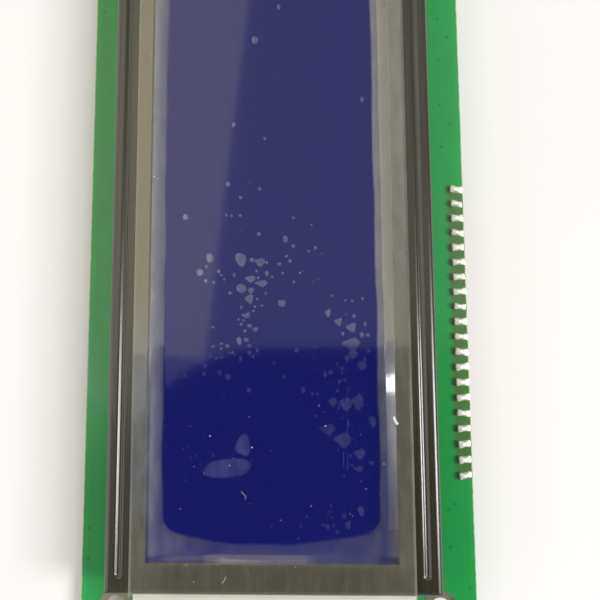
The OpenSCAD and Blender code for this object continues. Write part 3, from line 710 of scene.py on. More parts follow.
# Air bubbles under the film: middle of each in the picture, half width and half height, all in pixels, and
# its form where it isn't round
BUBBLES = [
    (255, 40, 3.6, 3.9), (234, 124.8, 2.3, 2.4), (228.4, 184, 2.3, 2.5), (278.7, 6.9, 1.6, 2.8),
    (240.8, 197.7, 1.6, 1.6), (259.8, 188.9, 1.5, 1.6), (361.9, 99.5, 2.2, 3.0), (264.9, 138.6, 1.3, 1.3),
    (185.5, 217, 2.8, 3.0), (259, 234, 1.8, 1.9), (285.5, 239, 2.7, 3.6), (293.5, 246, 1.8, 1.7),
    (210, 258, 4.0, 5.0), (200, 272.5, 3.9, 3.6), (219, 271.5, 1.6, 1.8), (206, 281, 1.5, 1.9, "wedge"),
    (241.5, 259.5, 5.4, 6.8, "drop"), (252, 260, 2.3, 2.4), (260.5, 262, 5.0, 4.0, "ragged"),
    (267, 273.5, 1.6, 3.0), (251, 279, 5.0, 3.3, "ragged"), (262, 283.5, 5.8, 3.5, "ragged"),
    (241.5, 288.5, 5.0, 4.6), (251, 290.5, 2.8, 3.5, "ragged"), (249.5, 299, 4.4, 4.3, "wedge"),
    (282, 303.5, 4.0, 3.9), (230, 293, 1.9, 1.5), (246.5, 315.5, 4.3, 2.8, "wedge"), (250, 326, 2.8, 2.0),
    (255.5, 329.5, 3.3, 2.3, "ragged"), (245, 331, 1.7, 1.7), (239.5, 341, 2.4, 4.4, "drop"),
    (246.5, 340, 2.4, 2.6), (249.5, 346, 2.1, 2.0), (227.5, 346, 2.1, 2.1), (228, 377, 2.8, 3.2),
    (249, 390, 2.4, 2.6), (206.4, 266.5, 1.3, 1.3), (224.4, 279.7, 0.9, 1.6), (234.3, 275.1, 0.9, 2.6),
    (256.5, 271.1, 1.2, 1.2), (258.4, 277.8, 1.3, 1.3), (272.2, 277, 1.2, 1.2), (279.5, 264, 2.2, 1.3),
    (290.2, 261, 1.7, 1.7), (286.4, 255.8, 1.2, 1.2), (282.9, 273.2, 1.2, 1.2), (293.8, 282, 1.2, 1.7),
    (265.7, 293.5, 0.9, 1.5), (257.3, 299.2, 1.2, 1.2), (261.9, 305.7, 1.4, 1.4), (255, 306.8, 1.2, 1.3),
    (253.5, 311, 1.3, 1.1), (241.6, 306.8, 0.8, 1.6), (243.9, 320.6, 1.2, 1.2), (241.2, 324.2, 1.5, 1.4),
    (238.5, 319.5, 1.0, 1.3), (213.3, 327.1, 1.2, 1.3), (354, 316.2, 1.8, 1.8),
    (342.8, 333.8, 1.6, 2.0, "wedge"), (367.6, 335.3, 2.2, 1.9), (368.5, 351.1, 1.2, 1.6),
    (324.8, 372.2, 1.3, 1.3), (345, 379.5, 1.2, 1.4), (337.6, 390.8, 1.4, 1.4), (312.2, 394, 1.6, 1.6),
    (317.3, 394.2, 1.5, 1.5), (214, 282.7, 1.3, 1.3), (213, 346.6, 1.8, 1.4, "wedge"),
    (221.7, 343.8, 1.3, 1.5), (221.4, 348.7, 1.2, 1.2), (230.1, 352.9, 1.4, 1.3), (234.7, 355, 1.3, 1.3),
    (240.3, 359, 1.2, 3.2), (249.5, 353, 1.8, 2.2, "wedge"), (253, 356.4, 1.8, 1.5, "wedge"),
    (257.5, 350.5, 1.2, 1.8), (216.2, 358.5, 1.5, 1.1), (221.8, 357.8, 1.3, 1.2), (210.9, 356, 1.3, 1.2),
    (205, 366, 1.9, 1.9), (204.1, 373.7, 1.8, 1.7), (220, 372.6, 1.8, 2.2, "wedge"),
    (296.5, 350.5, 2.4, 1.7, "wedge"), (274.3, 363, 1.2, 1.2), (283.8, 376.8, 1.7, 1.7),
    (184.2, 376, 1.5, 1.4), (315.4, 247.7, 1.2, 1.9), (308.8, 251.2, 1.4, 1.2), (226.3, 215, 1.2, 1.2),
    (231.6, 215.7, 1.1, 1.1), (240.3, 215.4, 1.3, 1.3), (293.4, 217.8, 1.2, 1.3),
    (332.2, 295.8, 1.3, 1.3), (352.3, 301, 1.3, 1.3), (362.4, 298.6, 1.3, 1.7), (345.6, 300.3, 1.1, 1.0),
    (328, 313, 3.0, 4.0, "wedge"), (338.5, 322, 3.8, 3.9, "wedge"), (351.5, 327.5, 5.2, 4.6, "wedge"),
    (365, 324, 1.3, 3.0), (362, 335, 2.2, 3.0), (352, 344, 8.8, 6.2, "ragged"),
    (353, 354.5, 4.3, 4.4, "ragged"), (347, 358.5, 2.4, 3.6, "ragged"), (362, 365.5, 5.0, 4.6),
    (342, 368.5, 2.0, 2.0), (325, 375, 2.0, 2.1), (331, 372, 2.0, 1.9), (303, 390, 2.4, 3.3),
    (333, 402, 4.0, 5.0, "ragged"), (346, 404, 6.5, 7.0, "ragged"), (358, 402, 6.0, 8.0, "ragged"),
    (373, 421.5, 3.8, 6.0, "drop"), (328, 429, 8.0, 5.0, "ragged"), (343.5, 440, 8.5, 7.5, "ragged"),
    (360, 454, 5.5, 5.5, "ragged"), (371.5, 463, 2.6, 2.4), (359, 469, 4.8, 3.2, "ragged"),
    (361.5, 511, 3.2, 5.0, "drop"), (344, 516, 2.5, 3.0), (348, 525, 3.3, 4.0, "wedge"),
    (327.5, 527, 2.5, 2.8), (337.5, 532, 1.9, 2.0), (227.3, 468.3, 25.0, 10.3, "lens"),
    (243, 446.5, 8.0, 11.0, "flame"),
]
# Crowds of small bubbles: middle, half width and half height in pixels, and how many
SPECK_CROWDS = [
    (345, 425, 30, 60, 30), (340, 375, 30, 20, 8), (330, 515, 40, 22, 14), (200, 450, 22, 24, 9),
]
# How far each form's outline bulges, as (turns round the outline, share of the radius, phase)
BUBBLE_FORMS = {
    "round": [(2, 0.05, 0.4), (3, 0.03, 1.9)],
    "drop": [(1, 0.1, 3.1), (2, 0.1, 0.2), (3, 0.08, 1.4)],
    "wedge": [(3, 0.2, 0.6), (2, 0.08, 2.2), (5, 0.03, 0.3)],
    "ragged": [(3, 0.13, 1.1), (4, 0.09, 2.5), (7, 0.05, 0.7)],
    "lens": [(2, 0.12, 3.1), (4, 0.06, -1.6)],
    "flame": [(1, 0.08, -1.3), (3, 0.13, -0.8)],
}
BUBBLE_SIDES = 28
# Rings from the rim to the top of a bubble: share of the outline, of the height and of the milk
BUBBLE_RINGS = [(1.0, 0.0, 0.1), (0.92, 0.7, 0.6), (0.78, 0.95, 0.95), (0.4, 1.0, 1.0)]
# Faces that mirror in a bubble, and in one under the dark card, where they show little
BUBBLE_GLOSS = (2.7, 0.7)
# How much milkier a bubble is there
DEEP_MILK = 1.3
# The stretch of X over which bubbles come under the dark card
UNDER_CARD = (17, 22)
# How milky a bubble of each form is
BUBBLE_HAZE = {"round": 0.055, "drop": 0.08, "wedge": 0.06, "ragged": 0.06, "lens": 0.085, "flame": 0.08}
# Forms that keep their own direction, and how far the others are turned, in radians
FIXED_FORMS = ("lens", "flame")
BUBBLE_TWIST = 0.5
# Height of a bubble of 1 mm half size, and the least distance from the edge of the contact
BUBBLE_HEIGHT = 0.012
BUBBLE_MARGIN = 0.3
# Half sizes and stretch of the bubbles in a crowd
CROWD_HALF = (0.5, 1.3)
CROWD_STRETCH = (0.8, 1.5)
# Width in pixels of a small bubble's rim, which doesn't show, and the half sizes over which it comes to show
HIDDEN_RIM = 0.2
RIM_SHOWS = (1.3, 3)
BUBBLE_SEED = 31


def seen_half(half):
    """Half size to draw for one seen in the picture, in pixels: a small bubble's thin rim doesn't show."""
    return half + HIDDEN_RIM * (1 - ease(half, *RIM_SHOWS))


def make_bubbles():
    """All bubbles as one piece of small closed domes, each with its gloss and milk."""
    shuffle = random.Random(BUBBLE_SEED)
    bubbles = list(BUBBLES)
    for column, row, half_width, half_height, count in SPECK_CROWDS:
        for _ in range(count):
            size = shuffle.uniform(*CROWD_HALF)
            bubbles.append((shuffle.gauss(column, half_width / 2), shuffle.gauss(row, half_height / 2),
                            size, size * shuffle.uniform(*CROWD_STRETCH)))
    points, faces, gloss, haze, blue = [], [], [], [], []
    foot = display_level + FILM_LIFT + FILM_SHEET / 2
    for bubble in bubbles:
        column, row, half_width, half_height, form = (*bubble, "round")[:5]
        middle = at_pixel(column, row, foot)
        if outside_contact(middle.x, middle.y) > -BUBBLE_MARGIN:
            continue
        reach_y = at_pixel(column + seen_half(half_width), row, foot).y - middle.y
        reach_x = at_pixel(column, row + seen_half(half_height), foot).x - middle.x
        height = BUBBLE_HEIGHT * min(reach_x, reach_y) ** 0.5
        twist = 0 if form in FIXED_FORMS else shuffle.uniform(-BUBBLE_TWIST, BUBBLE_TWIST)
        first = len(points)
        deep = ease(middle.x, *UNDER_CARD)
        milk = BUBBLE_HAZE[form] * (1 + (DEEP_MILK - 1) * deep)
        shine = BUBBLE_GLOSS[0] + (BUBBLE_GLOSS[1] - BUBBLE_GLOSS[0]) * deep
        for share, rise, thick in BUBBLE_RINGS:
            gloss += [shine * (0.5 + 0.5 * thick)] * BUBBLE_SIDES
            haze += [milk * thick] * BUBBLE_SIDES
            for k in range(BUBBLE_SIDES):
                angle = 2 * math.pi * k / BUBBLE_SIDES
                swell = sum(size * math.sin(turns * angle + phase + twist)
                            for turns, size, phase in BUBBLE_FORMS[form])
                reach = share * (1 + swell)
                points.append((middle.x + reach_x * reach * math.cos(angle),
                               middle.y + reach_y * reach * math.sin(angle), foot + height * rise))
        top = len(points)
        points.append((middle.x, middle.y, foot + height))
        base = len(points)
        points += points[first:first + BUBBLE_SIDES]
        last_ring = first + (len(BUBBLE_RINGS) - 1) * BUBBLE_SIDES
        for k in range(BUBBLE_SIDES):
            after = (k + 1) % BUBBLE_SIDES
            for ring in range(len(BUBBLE_RINGS) - 1):
                low = first + ring * BUBBLE_SIDES
                faces.append((low + k, low + after, low + BUBBLE_SIDES + after, low + BUBBLE_SIDES + k))
            faces.append((last_ring + k, last_ring + after, top))
        faces.append(tuple(base + k for k in range(BUBBLE_SIDES)))
        gloss += [shine] + [0.0] * BUBBLE_SIDES
        haze += [milk] + [0.0] * BUBBLE_SIDES
        blue += [deep] * (len(points) - first)
    bubbles_piece = new_piece("air_bubbles", points, faces, bubble_material)
    set_points(bubbles_piece, gloss=gloss, haze=haze, blue=blue)
    hand_over(bubbles_piece, "film_pet")


make_bubbles()


def begin_tree(name, inputs):
    """An empty geometry tree with named inputs: the tree, each input's identifier and the inputs' sockets."""
    tree = bpy.data.node_groups.new(name, "GeometryNodeTree")
    keys = {}
    for title, kind in inputs.items():
        socket = tree.interface.new_socket(title, in_out="INPUT", socket_type="NodeSocket" + kind)
        keys[title] = socket.identifier
    tree.interface.new_socket("Result", in_out="OUTPUT", socket_type="NodeSocketGeometry")
    return tree, keys, add(tree, "NodeGroupInput").outputs


def end_tree(tree, shape, finish):
    """Ends a geometry tree in real geometry that has its finish."""
    real = add(tree, "GeometryNodeRealizeInstances", {}, {"Geometry": shape})
    dressed = add(tree, "GeometryNodeSetMaterial", {},
                  {"Geometry": real.outputs["Geometry"], "Material": finish})
    add(tree, "NodeGroupOutput", {}, {"Result": dressed.outputs["Geometry"]})


def grow(name, tree, keys, values, points=(), edges=(), sizes=()):
    """The plain mesh that a geometry tree makes from points in millimetres and the edges between them."""
    seed = bpy.data.objects.new(name + "_seed", bpy.data.meshes.new(name + "_seed"))
    seed.data.from_pydata([Vector(p) * MM for p in points], edges, [])
    if sizes:
        set_points(seed, size=sizes)
    bpy.context.scene.collection.objects.link(seed)
    modifier = seed.modifiers.new(name, "NODES")
    modifier.node_group = tree
    for title, value in values.items():
        modifier[keys[title]] = value
    bpy.context.view_layer.update()
    made = bpy.data.meshes.new_from_object(seed.evaluated_get(bpy.context.evaluated_depsgraph_get()))
    bpy.data.objects.remove(seed)
    piece = bpy.data.objects.new(name, made)
    bpy.context.scene.collection.objects.link(piece)
    return piece


def round_from(x, y, radius, angle):
    """Point at a distance and an angle from a middle."""
    return x + radius * math.cos(angle), y + radius * math.sin(angle)


def ring_faces(rings, sides):
    """Faces between rings of points that follow each other, with the first and last ring closed."""
    faces = [tuple(range(sides)), tuple((rings - 1) * sides + k for k in range(sides))]
    for low in range(0, (rings - 1) * sides, sides):
        for k in range(sides):
            after = (k + 1) % sides
            faces.append((low + k, low + after, low + sides + after, low + sides + k))
    return faces


def solder_heap():
    """One joint: solder drawn up round a pin, a lobe over its tip, a waist and a fan to the board's edge."""
    steps, dome_steps, sides = 10, 5, 36
    foot_in, foot_out, tip_in, tip_out = -0.72, 1.38, -0.94, 0.42
    waist, waist_y, lobe, fan = 0.42, 0.28, 0.24, 0.36
    foot_flare, squareness = 0.08, 0.4
    cover = 0.1
    side_h = 0.6
    dome_h = pin_high.z - board_front + cover - side_h
    points = []
    for ring in range(steps + dome_steps):
        share = min(ring / steps, 1)
        bend = math.pi / 2 * max(ring - steps, 0) / dome_steps
        inner = tip_in + (foot_in - tip_in) * (1 - share) ** 5
        outer = tip_out + (foot_out - tip_out) * (1 - share) ** 2
        for k in range(sides):
            angle = 2 * math.pi * k / sides
            y = (inner + outer) / 2 + (outer - inner) / 2 * math.sin(angle) * math.cos(bend)
            spread = lobe / (waist_y - foot_in) ** 2 if y < waist_y else fan / (foot_out - waist_y) ** 2
            half = waist + spread * (y - waist_y) ** 2 + foot_flare * (1 - share) ** 6
            across = math.copysign(abs(math.cos(angle)) ** squareness, math.cos(angle))
            points.append((half * across * math.cos(bend), y, side_h * share + dome_h * math.sin(bend)))
    return new_piece("solder_heap", points, ring_faces(steps + dome_steps, sides), solder_material)


def make_joints():
    """Twenty soldered joints: one heap repeated along the row, each with its own turn and size."""
    tree, keys, given = begin_tree("soldered_row", {"Count": "Int", "Pitch": "Float", "Heap": "Object",
                                                    "Start": "Vector", "Finish": "Material"})
    step = add(tree, "ShaderNodeCombineXYZ", {}, {"X": given["Pitch"]})
    line = add(tree, "GeometryNodeMeshLine", {},
               {"Count": given["Count"], "Start Location": given["Start"], "Offset": step.outputs[0]})
    shape = add(tree, "GeometryNodeObjectInfo", {}, {"Object": given["Heap"]})
    lean = add(tree, "FunctionNodeRandomValue", {"data_type": "FLOAT_VECTOR"},
               {"Min": (-0.04, -0.04, -0.12), "Max": (0.04, 0.04, 0.12), "Seed": 4})
    size = add(tree, "FunctionNodeRandomValue", {"data_type": "FLOAT_VECTOR"},
               {"Min": (0.9, 0.94, 0.95), "Max": (1.14, 1.01, 1.02), "Seed": 9})
    row = add(tree, "GeometryNodeInstanceOnPoints", {},
              {"Points": line.outputs["Mesh"], "Instance": shape.outputs["Geometry"],
               "Rotation": lean.outputs[0], "Scale": size.outputs[0]})
    end_tree(tree, row.outputs["Instances"], given["Finish"])
    heap = solder_heap()
    start_x = pin_row_x - (PIN_COUNT - 1) / 2 * PIN_PITCH
    joints = grow("soldered_joints", tree, keys, {
        "Count": PIN_COUNT, "Pitch": PIN_PITCH * MM, "Heap": heap, "Finish": solder_material,
        "Start": Vector((start_x, pin_row_y, board_front)) * MM})
    bpy.data.objects.remove(heap)
    hand_over(joints, "solder", "header_solder")


make_joints()


def strip_tree():
    """Flat strips of one width and thickness, laid along paths."""
    tree, keys, given = begin_tree("laid_strips", {"Paths": "Geometry", "Width": "Float",
                                                   "Thickness": "Float", "Finish": "Material"})
    paths = add(tree, "GeometryNodeMeshToCurve", {}, {"Mesh": given["Paths"]})
    level = add(tree, "GeometryNodeSetCurveNormal", {"mode": "Z_UP"}, {"Curve": paths.outputs["Curve"]})
    section = add(tree, "GeometryNodeCurvePrimitiveQuadrilateral", {},
                  {"Width": given["Width"], "Height": given["Thickness"]})
    strip = add(tree, "GeometryNodeCurveToMesh", {},
                {"Curve": level.outputs["Curve"], "Profile Curve": section.outputs["Curve"],
                 "Fill Caps": True})
    flat = add(tree, "GeometryNodeSetShadeSmooth", {},
               {"Geometry": strip.outputs["Mesh"], "Shade Smooth": False})
    end_tree(tree, flat.outputs["Geometry"], given["Finish"])
    return tree, keys


def grain_tree():
    """Copies of one small shape at points, each of its own size and tumbled by its own angle."""
    tree, keys, given = begin_tree("scattered_grains", {"Places": "Geometry", "Grain": "Object",
                                                        "Turn": "Vector", "Tumble": "Vector",
                                                        "Finish": "Material"})
    shape = add(tree, "GeometryNodeObjectInfo", {}, {"Object": given["Grain"]})
    loose = add(tree, "FunctionNodeRandomValue", {"data_type": "FLOAT_VECTOR"},
                {"Min": (-1, -1, -1), "Max": (1, 1, 1), "Seed": 6})
    turn = add(tree, "ShaderNodeVectorMath", {"operation": "MULTIPLY_ADD"},
               {0: loose.outputs[0], 1: given["Tumble"], 2: given["Turn"]})
    size = add(tree, "GeometryNodeInputNamedAttribute", {"data_type": "FLOAT"}, {"Name": "size"})
    spread = add(tree, "GeometryNodeInstanceOnPoints", {},
                 {"Points": given["Places"], "Instance": shape.outputs["Geometry"],
                  "Rotation": turn.outputs[0], "Scale": size.outputs["Attribute"]})
    end_tree(tree, spread.outputs["Instances"], given["Finish"])
    return tree, keys


laid_strips = strip_tree()
scattered_grains = grain_tree()


def lay(name, paths, width, thickness, material, slot):
    """One piece of flat strips along paths of points; a path that ends where it starts is a closed loop."""
    points, edges = [], []
    for path in paths:
        first, loop = len(points), path[0] == path[-1]
        points += path[:-1] if loop else path
        last = len(points) - 1
        edges += [(i, i + 1) for i in range(first, last)] + ([(last, first)] if loop else [])
    values = {"Width": width * MM, "Thickness": thickness * MM, "Finish": material}
    strips = grow(name, *laid_strips, values, points, edges)
    hand_over(strips, slot)
    return strips


def scatter(name, places, sizes, grain, turn, tumble, material, slot):
    """One piece of many copies of a small shape, which is then taken away."""
    values = {"Grain": grain, "Turn": turn, "Tumble": tumble, "Finish": material}
    spread = grow(name, *scattered_grains, values, places, (), sizes)
    bpy.data.objects.remove(grain)
    hand_over(spread, slot)


def turned(name, profile, sides, material, lump=0.0):
    """A small closed shape turned from its profile of radius and height, each ring out of round by lump."""
    lump_turn, lump_rise = 3.1, 5
    points = []
    for radius, height in profile:
        for k in range(sides):
            angle = 2 * math.pi * k / sides
            reach = radius * (1 + lump * math.sin(lump_turn * k + lump_rise * height))
            points.append((*round_from(0, 0, reach, angle), height))
    return new_piece(name, points, ring_faces(len(profile), sides), material)


# Dust on the film and the bezel by its place in the picture: specks with their radius and fibres, a white
# strip that is a painted glint, and scratches
SPECKS = [
    (300, 273, 0.08), (267, 262.5, 0.08), (221, 275, 0.07), (210, 436, 0.09), (252, 447.5, 0.1),
    (229.5, 465.5, 0.07), (319, 405.5, 0.06), (325.5, 426, 0.09), (311, 506, 0.06), (366, 489, 0.06),
    (186, 565.5, 0.1), (295.5, 567, 0.08), (406, 248, 0.08), (136, 321, 0.08), (193.6, 582.3, 0.12),
    (384, 464, 0.06), (151.3, 55.5, 0.09), (154, 176.5, 0.08), (311.6, 224.8, 0.08), (158.2, 178.2, 0.06),
    (137.5, 192, 0.07),
]
FIBRE = [(241.5, 491.5), (243, 493.5), (245, 495.5), (246.3, 497), (244.8, 499.4)]
BEZEL_FIBRE = [(222, 583.2), (223.6, 581.6), (225, 579), (225.8, 576.6)]
# A white strip laid where a glint shows on the loose film: a painted highlight, not lint
GLINT_STRIP = [(394.1, 416.6), (394.7, 419.2), (396, 422), (397.8, 424.4)]
SCRATCHES = [
    [(347.6, 388), (347.5, 395)], [(347.7, 419), (347.5, 438)], [(347.6, 454), (347.4, 470)],
    [(347.2, 539), (347, 546)], [(343, 399), (342.8, 407)], [(343.6, 452), (343.4, 468)],
]
# Fine dust: how many grains, the range of their radius, the stretch of X they lie on and the margin in Y
FINE_DUST = 90
FINE_RADIUS = (0.025, 0.05)
FINE_DUST_X = (-50, 55)
FINE_DUST_MARGIN = 1
DUST_SEED = 12
# A grain: its profile, its sides, how far it is out of round and how far it may tumble
GRAIN_FORM = [(0.3, -0.3), (0.85, -0.15), (1.0, 0.05), (0.6, 0.3)]
GRAIN_SIDES = 7
GRAIN_LUMP = 0.22
GRAIN_TUMBLE = (0.15, 0.15, math.pi)
# Share of its stand by which dust is raised from the film
RAISED_SHARE = 0.4
# Thickness and stand of fibres and of the painted glint strip, and width, thickness and milk of a scratch
FIBRE_THICKNESS = 0.03
FIBRE_STAND = 0.02
SCRATCH_WIDTH = 0.07
SCRATCH_THICKNESS = 0.004
SCRATCH_MILK = 0.08
# Settled household dust: white, dull, uneven; it is also the white strip that is a painted glint on the film.
# Thin dust, on the bezel and in the fibres: greyed by what is under it
dust_and_glint_material = mottled("settled_dust", "f6f6f4", "d6d8de", 0.1, (0.7, 0.9), 0.03, 0.002)
thin_dust = mottled("thin_settled_dust", "a9aaa6", "8b8c88", 0.1, (0.7, 0.9), 0.03, 0.002)


def on_film(column, row, stand):
    """Point on the film's upper face at a pixel, raised a little but kept its stand under the model's top."""
    point = at_pixel(column, row, film_at(*at_pixel(column, row, display_level).xy)[0] + FILM_SHEET)
    point.z = min(film_at(point.x, point.y)[0] + FILM_SHEET + RAISED_SHARE * stand, film_high.z - stand)
    return point


def make_dust():
    """Specks, fine dust and fibres on the film and the bezel, a white strip on the film as a painted glint,
    and faint scratches in the film.
    """
    shuffle = random.Random(DUST_SEED)
    grains = [(on_film(column, row, 0.5 * radius), radius) for column, row, radius in SPECKS]
    for _ in range(FINE_DUST):
        radius = shuffle.uniform(*FINE_RADIUS)
        x = shuffle.uniform(*FINE_DUST_X)
        y = shuffle.uniform(film_low.y + FINE_DUST_MARGIN, film_high.y - FINE_DUST_MARGIN)
        grains.append((Vector((x, y, min(film_at(x, y)[0] + FILM_SHEET, film_high.z - radius))), radius))
    for name, in_window, material in (("dust_specks", True, dust_and_glint_material), ("bezel_dust", False, thin_dust)):
        kept = [(p, r) for p, r in grains if (abs(p.x) < window_x and abs(p.y) < window_y) == in_window]
        grain = turned("dust_grain", GRAIN_FORM, GRAIN_SIDES, material, GRAIN_LUMP)
        scatter(name, [p for p, _ in kept], [r for _, r in kept], grain, (0, 0, 0), GRAIN_TUMBLE, material,
                "film_pet")
    for name, path, width, material in (("dust_fibre", FIBRE, 0.08, thin_dust),
                                        ("bezel_fibre", BEZEL_FIBRE, 0.15, thin_dust),
                                        ("lint", GLINT_STRIP, 0.4, dust_and_glint_material)):
        places = [on_film(column, row, FIBRE_STAND) for column, row in path]
        lay(name, [places], width, FIBRE_THICKNESS, material, "film_pet")
    scratches = [[on_film(column, row, SCRATCH_THICKNESS) for column, row in path] for path in SCRATCHES]
    marks = lay("film_scratches", scratches, SCRATCH_WIDTH, SCRATCH_THICKNESS, bubble_material, "film_pet")
    count = len(marks.data.vertices)
    set_points(marks, gloss=[0.0] * count, haze=[SCRATCH_MILK] * count, blue=[1.0] * count)


make_dust()

# Copper under the mask, vias and white print. Vias on the front by their places in the picture
FRONT_VIAS = [
    (105, 12), (89, 528), (88, 559), (437, 19), (447, 37), (438, 60), (439.5, 104.5), (450, 123.7),
    (441, 146.7), (448.5, 509.5), (455, 504), (450.5, 547), (470, 588),
]
VIA_FORM = [(0.33, -0.01), (0.33, 0.0), (0.25, 0.006), (0.17, 0.006), (0.1, 0.002)]
VIA_SIDES = 10
# Bus above the driver caps: its lines, their ends in X and how much shorter each one is, and the lines down
# to a cap, which start under its rim and end short of the bus
BUS_LINES = 8
BUS_PITCH = 0.7
BUS_GAP = 2.4
BUS_ENDS = (-50, 47)
BUS_STAGGER = 1.2
DROP_PITCH = 1.3
DROP_END = 1
UNDER_CAP = 0.3
# Fans below the caps: the angles of the first line and of the whole fan, and how far a line runs straight out
FAN_LINES = 20
FAN_PITCH = 1.05
FAN_DROP = 3.2
FAN_START = 200
FAN_SWEEP = 140
FAN_OUT = 0.9
# Printed ring round a cap: its gap and its steps
PRINT_GAP = 0.6
PRINT_STEPS = 48
# Short lines from the header's pins, and from the toes of the inverter's leads on either side, and how far
# the pad of a lead runs in and out from its toe
PIN_STUB = 1
PIN_STAGGER = 0.8
LEADS_A_SIDE = 4
TOE_STUBS = (1.4, -0.6)
LEAD_PAD = (0.4, 0.25)
# Chip parts: how many, their width, and the lines between the resistors and from the capacitors
RESISTORS = 9
CAPACITORS = 7
CHIP_WIDTH = 1.25
LADDER_OUT = 0.9
STORE_OUT = 1.2
# How far lines and pads start under a part and pads end past it, where print runs beside a part and stops
# short of its ends, how far the print of the pin row runs in and out, and half sides of the guard line
UNDER_PART = 0.2
PAD_OUT = 0.4
PRINT_SIDE = 0.95
PRINT_INSET = 0.5
ROW_PRINT = (0.8, 0.35)
GUARD = (53, 23.6)
# How far tracks, pads and print sink into the board
ART_SINK = 0.01
# Mask over copper: the same green, paler and raised. Mask in a via: thick and dark. Print: dull white ink
copper_green = mottled("mask_over_copper", "5cc27e", "4ab46c", 6.0, (0.2, 0.3), 0.5, 0.003, {"IOR": 1.62})
via_green = mottled("mask_sunk_in_via", "209548", "198640", 0.6, (0.2, 0.3), 0.2, 0.001, {"IOR": 1.62})
print_white = mottled("white_legend_ink", "eef0ea", "dcdfd8", 0.8, (0.5, 0.7), 0.1, 0.004)


def chips(node, count):
    """Middle of each chip part in a row, and the two levels of Y where its ends are."""
    low, high = box_mm(node)
    pitch = (high.x - low.x - CHIP_WIDTH) / (count - 1)
    return [low.x + CHIP_WIDTH / 2 + i * pitch for i in range(count)], low.y, high.y


def driver_art(copper, prints, vias):
    """Adds the bus above the driver caps, the lines down to each, the fans below and the printed rings."""
    caps = [box_mm(name) for name in SLOT_NODES["chip_epoxy"]]
    radius = (caps[0][1].x - caps[0][0].x) / 2
    cap_y = (caps[0][0].y + caps[0][1].y) / 2
    cap_xs = [(low.x + high.x) / 2 for low, high in caps]
    bus_y = cap_y + radius + BUS_GAP
    drops = [(k - (BUS_LINES - 1) / 2) * DROP_PITCH for k in range(BUS_LINES)]
    for k, drop in enumerate(drops):
        y = bus_y + k * BUS_PITCH
        copper.append([(BUS_ENDS[0] + BUS_STAGGER * k, y), (BUS_ENDS[1] - BUS_STAGGER * k, y)])
        vias += [(x + drop, y) for x in cap_xs]
    for middle in cap_xs:
        for drop in drops:
            end = (middle + drop, bus_y - DROP_END)
            copper.append([(middle + drop, cap_y + math.sqrt(radius ** 2 - drop ** 2) - UNDER_CAP), end])
            vias.append(end)
        for k in range(FAN_LINES):
            angle = math.radians(FAN_START + FAN_SWEEP * k / (FAN_LINES - 1))
            reaches = (radius - UNDER_CAP, radius + FAN_OUT)
            rim = [round_from(middle, cap_y, reach, angle) for reach in reaches]
            end = (middle + (k - (FAN_LINES - 1) / 2) * FAN_PITCH, cap_y - radius - FAN_DROP)
            copper.append(rim + [end])
            vias.append(end)
        turns = [math.radians(360 * k / PRINT_STEPS) for k in range(PRINT_STEPS)] + [0.0]
        prints.append([round_from(middle, cap_y, radius + PRINT_GAP, angle) for angle in turns])


def part_art(copper, pads, chip_pads, prints, vias):
    """Adds the lines, pads and print of the header, the inverter, the resistors and the capacitors."""
    for i in range(PIN_COUNT):
        x = pin_row_x + (i - (PIN_COUNT - 1) / 2) * PIN_PITCH
        end = (x, strip_low.y - PIN_STUB - PIN_STAGGER * (i % 3))
        copper.append([(x, strip_low.y + UNDER_PART), end])
        vias.append(end)
    toe_low, toe_high = box_mm("inverter_leads")
    body_low, body_high = box_mm("voltage_inverter")
    for k in range(LEADS_A_SIDE):
        x = (toe_low.x + toe_high.x) / 2 + (k - (LEADS_A_SIDE - 1) / 2) * PIN_PITCH / 2
        for toe, reach in zip((toe_high.y, toe_low.y), TOE_STUBS):
            inner, outer = (math.copysign(length, reach) for length in LEAD_PAD)
            pads.append([(x, toe - inner), (x, toe + outer)])
            copper.append([(x, toe), (x, toe + reach)])
            vias.append((x, toe + reach))
    for x in (body_low.x - PRINT_INSET, body_high.x + PRINT_INSET):
        prints.append([(x, body_low.y + UNDER_PART), (x, body_high.y - UNDER_PART)])
    ladder, ladder_low, ladder_high = chips("chip_resistors", RESISTORS)
    for i, (x, after) in enumerate(zip(ladder, ladder[1:])):
        end, out = (ladder_high, LADDER_OUT) if i % 2 else (ladder_low, -LADDER_OUT)
        copper.append([(x, end), (x, end + out), (after, end + out), (after, end)])
    stores, store_low, store_high = chips("chip_capacitors", CAPACITORS)
    for x in stores:
        end = (x, store_high + STORE_OUT)
        copper += [[(x, store_low), (x, -GUARD[1])], [(x, store_high), end]]
        vias.append(end)
    for xs, low, high in ((ladder, ladder_low, ladder_high), (stores, store_low, store_high)):
        for x in xs:
            chip_pads.append([(x, low + UNDER_PART), (x, low - PAD_OUT)])
            chip_pads.append([(x, high - UNDER_PART), (x, high + PAD_OUT)])
            for side in (x - PRINT_SIDE, x + PRINT_SIDE):
                prints.append([(side, low + PRINT_INSET), (side, high - PRINT_INSET)])
    row_reach = PIN_COUNT * PIN_PITCH / 2 + PAD_OUT
    left, right = pin_row_x - row_reach, pin_row_x + row_reach
    top, bottom = strip_low.y + ROW_PRINT[0], strip_low.y - ROW_PRINT[1]
    prints.append([(left, top), (left, bottom), (right, bottom), (right, top)])


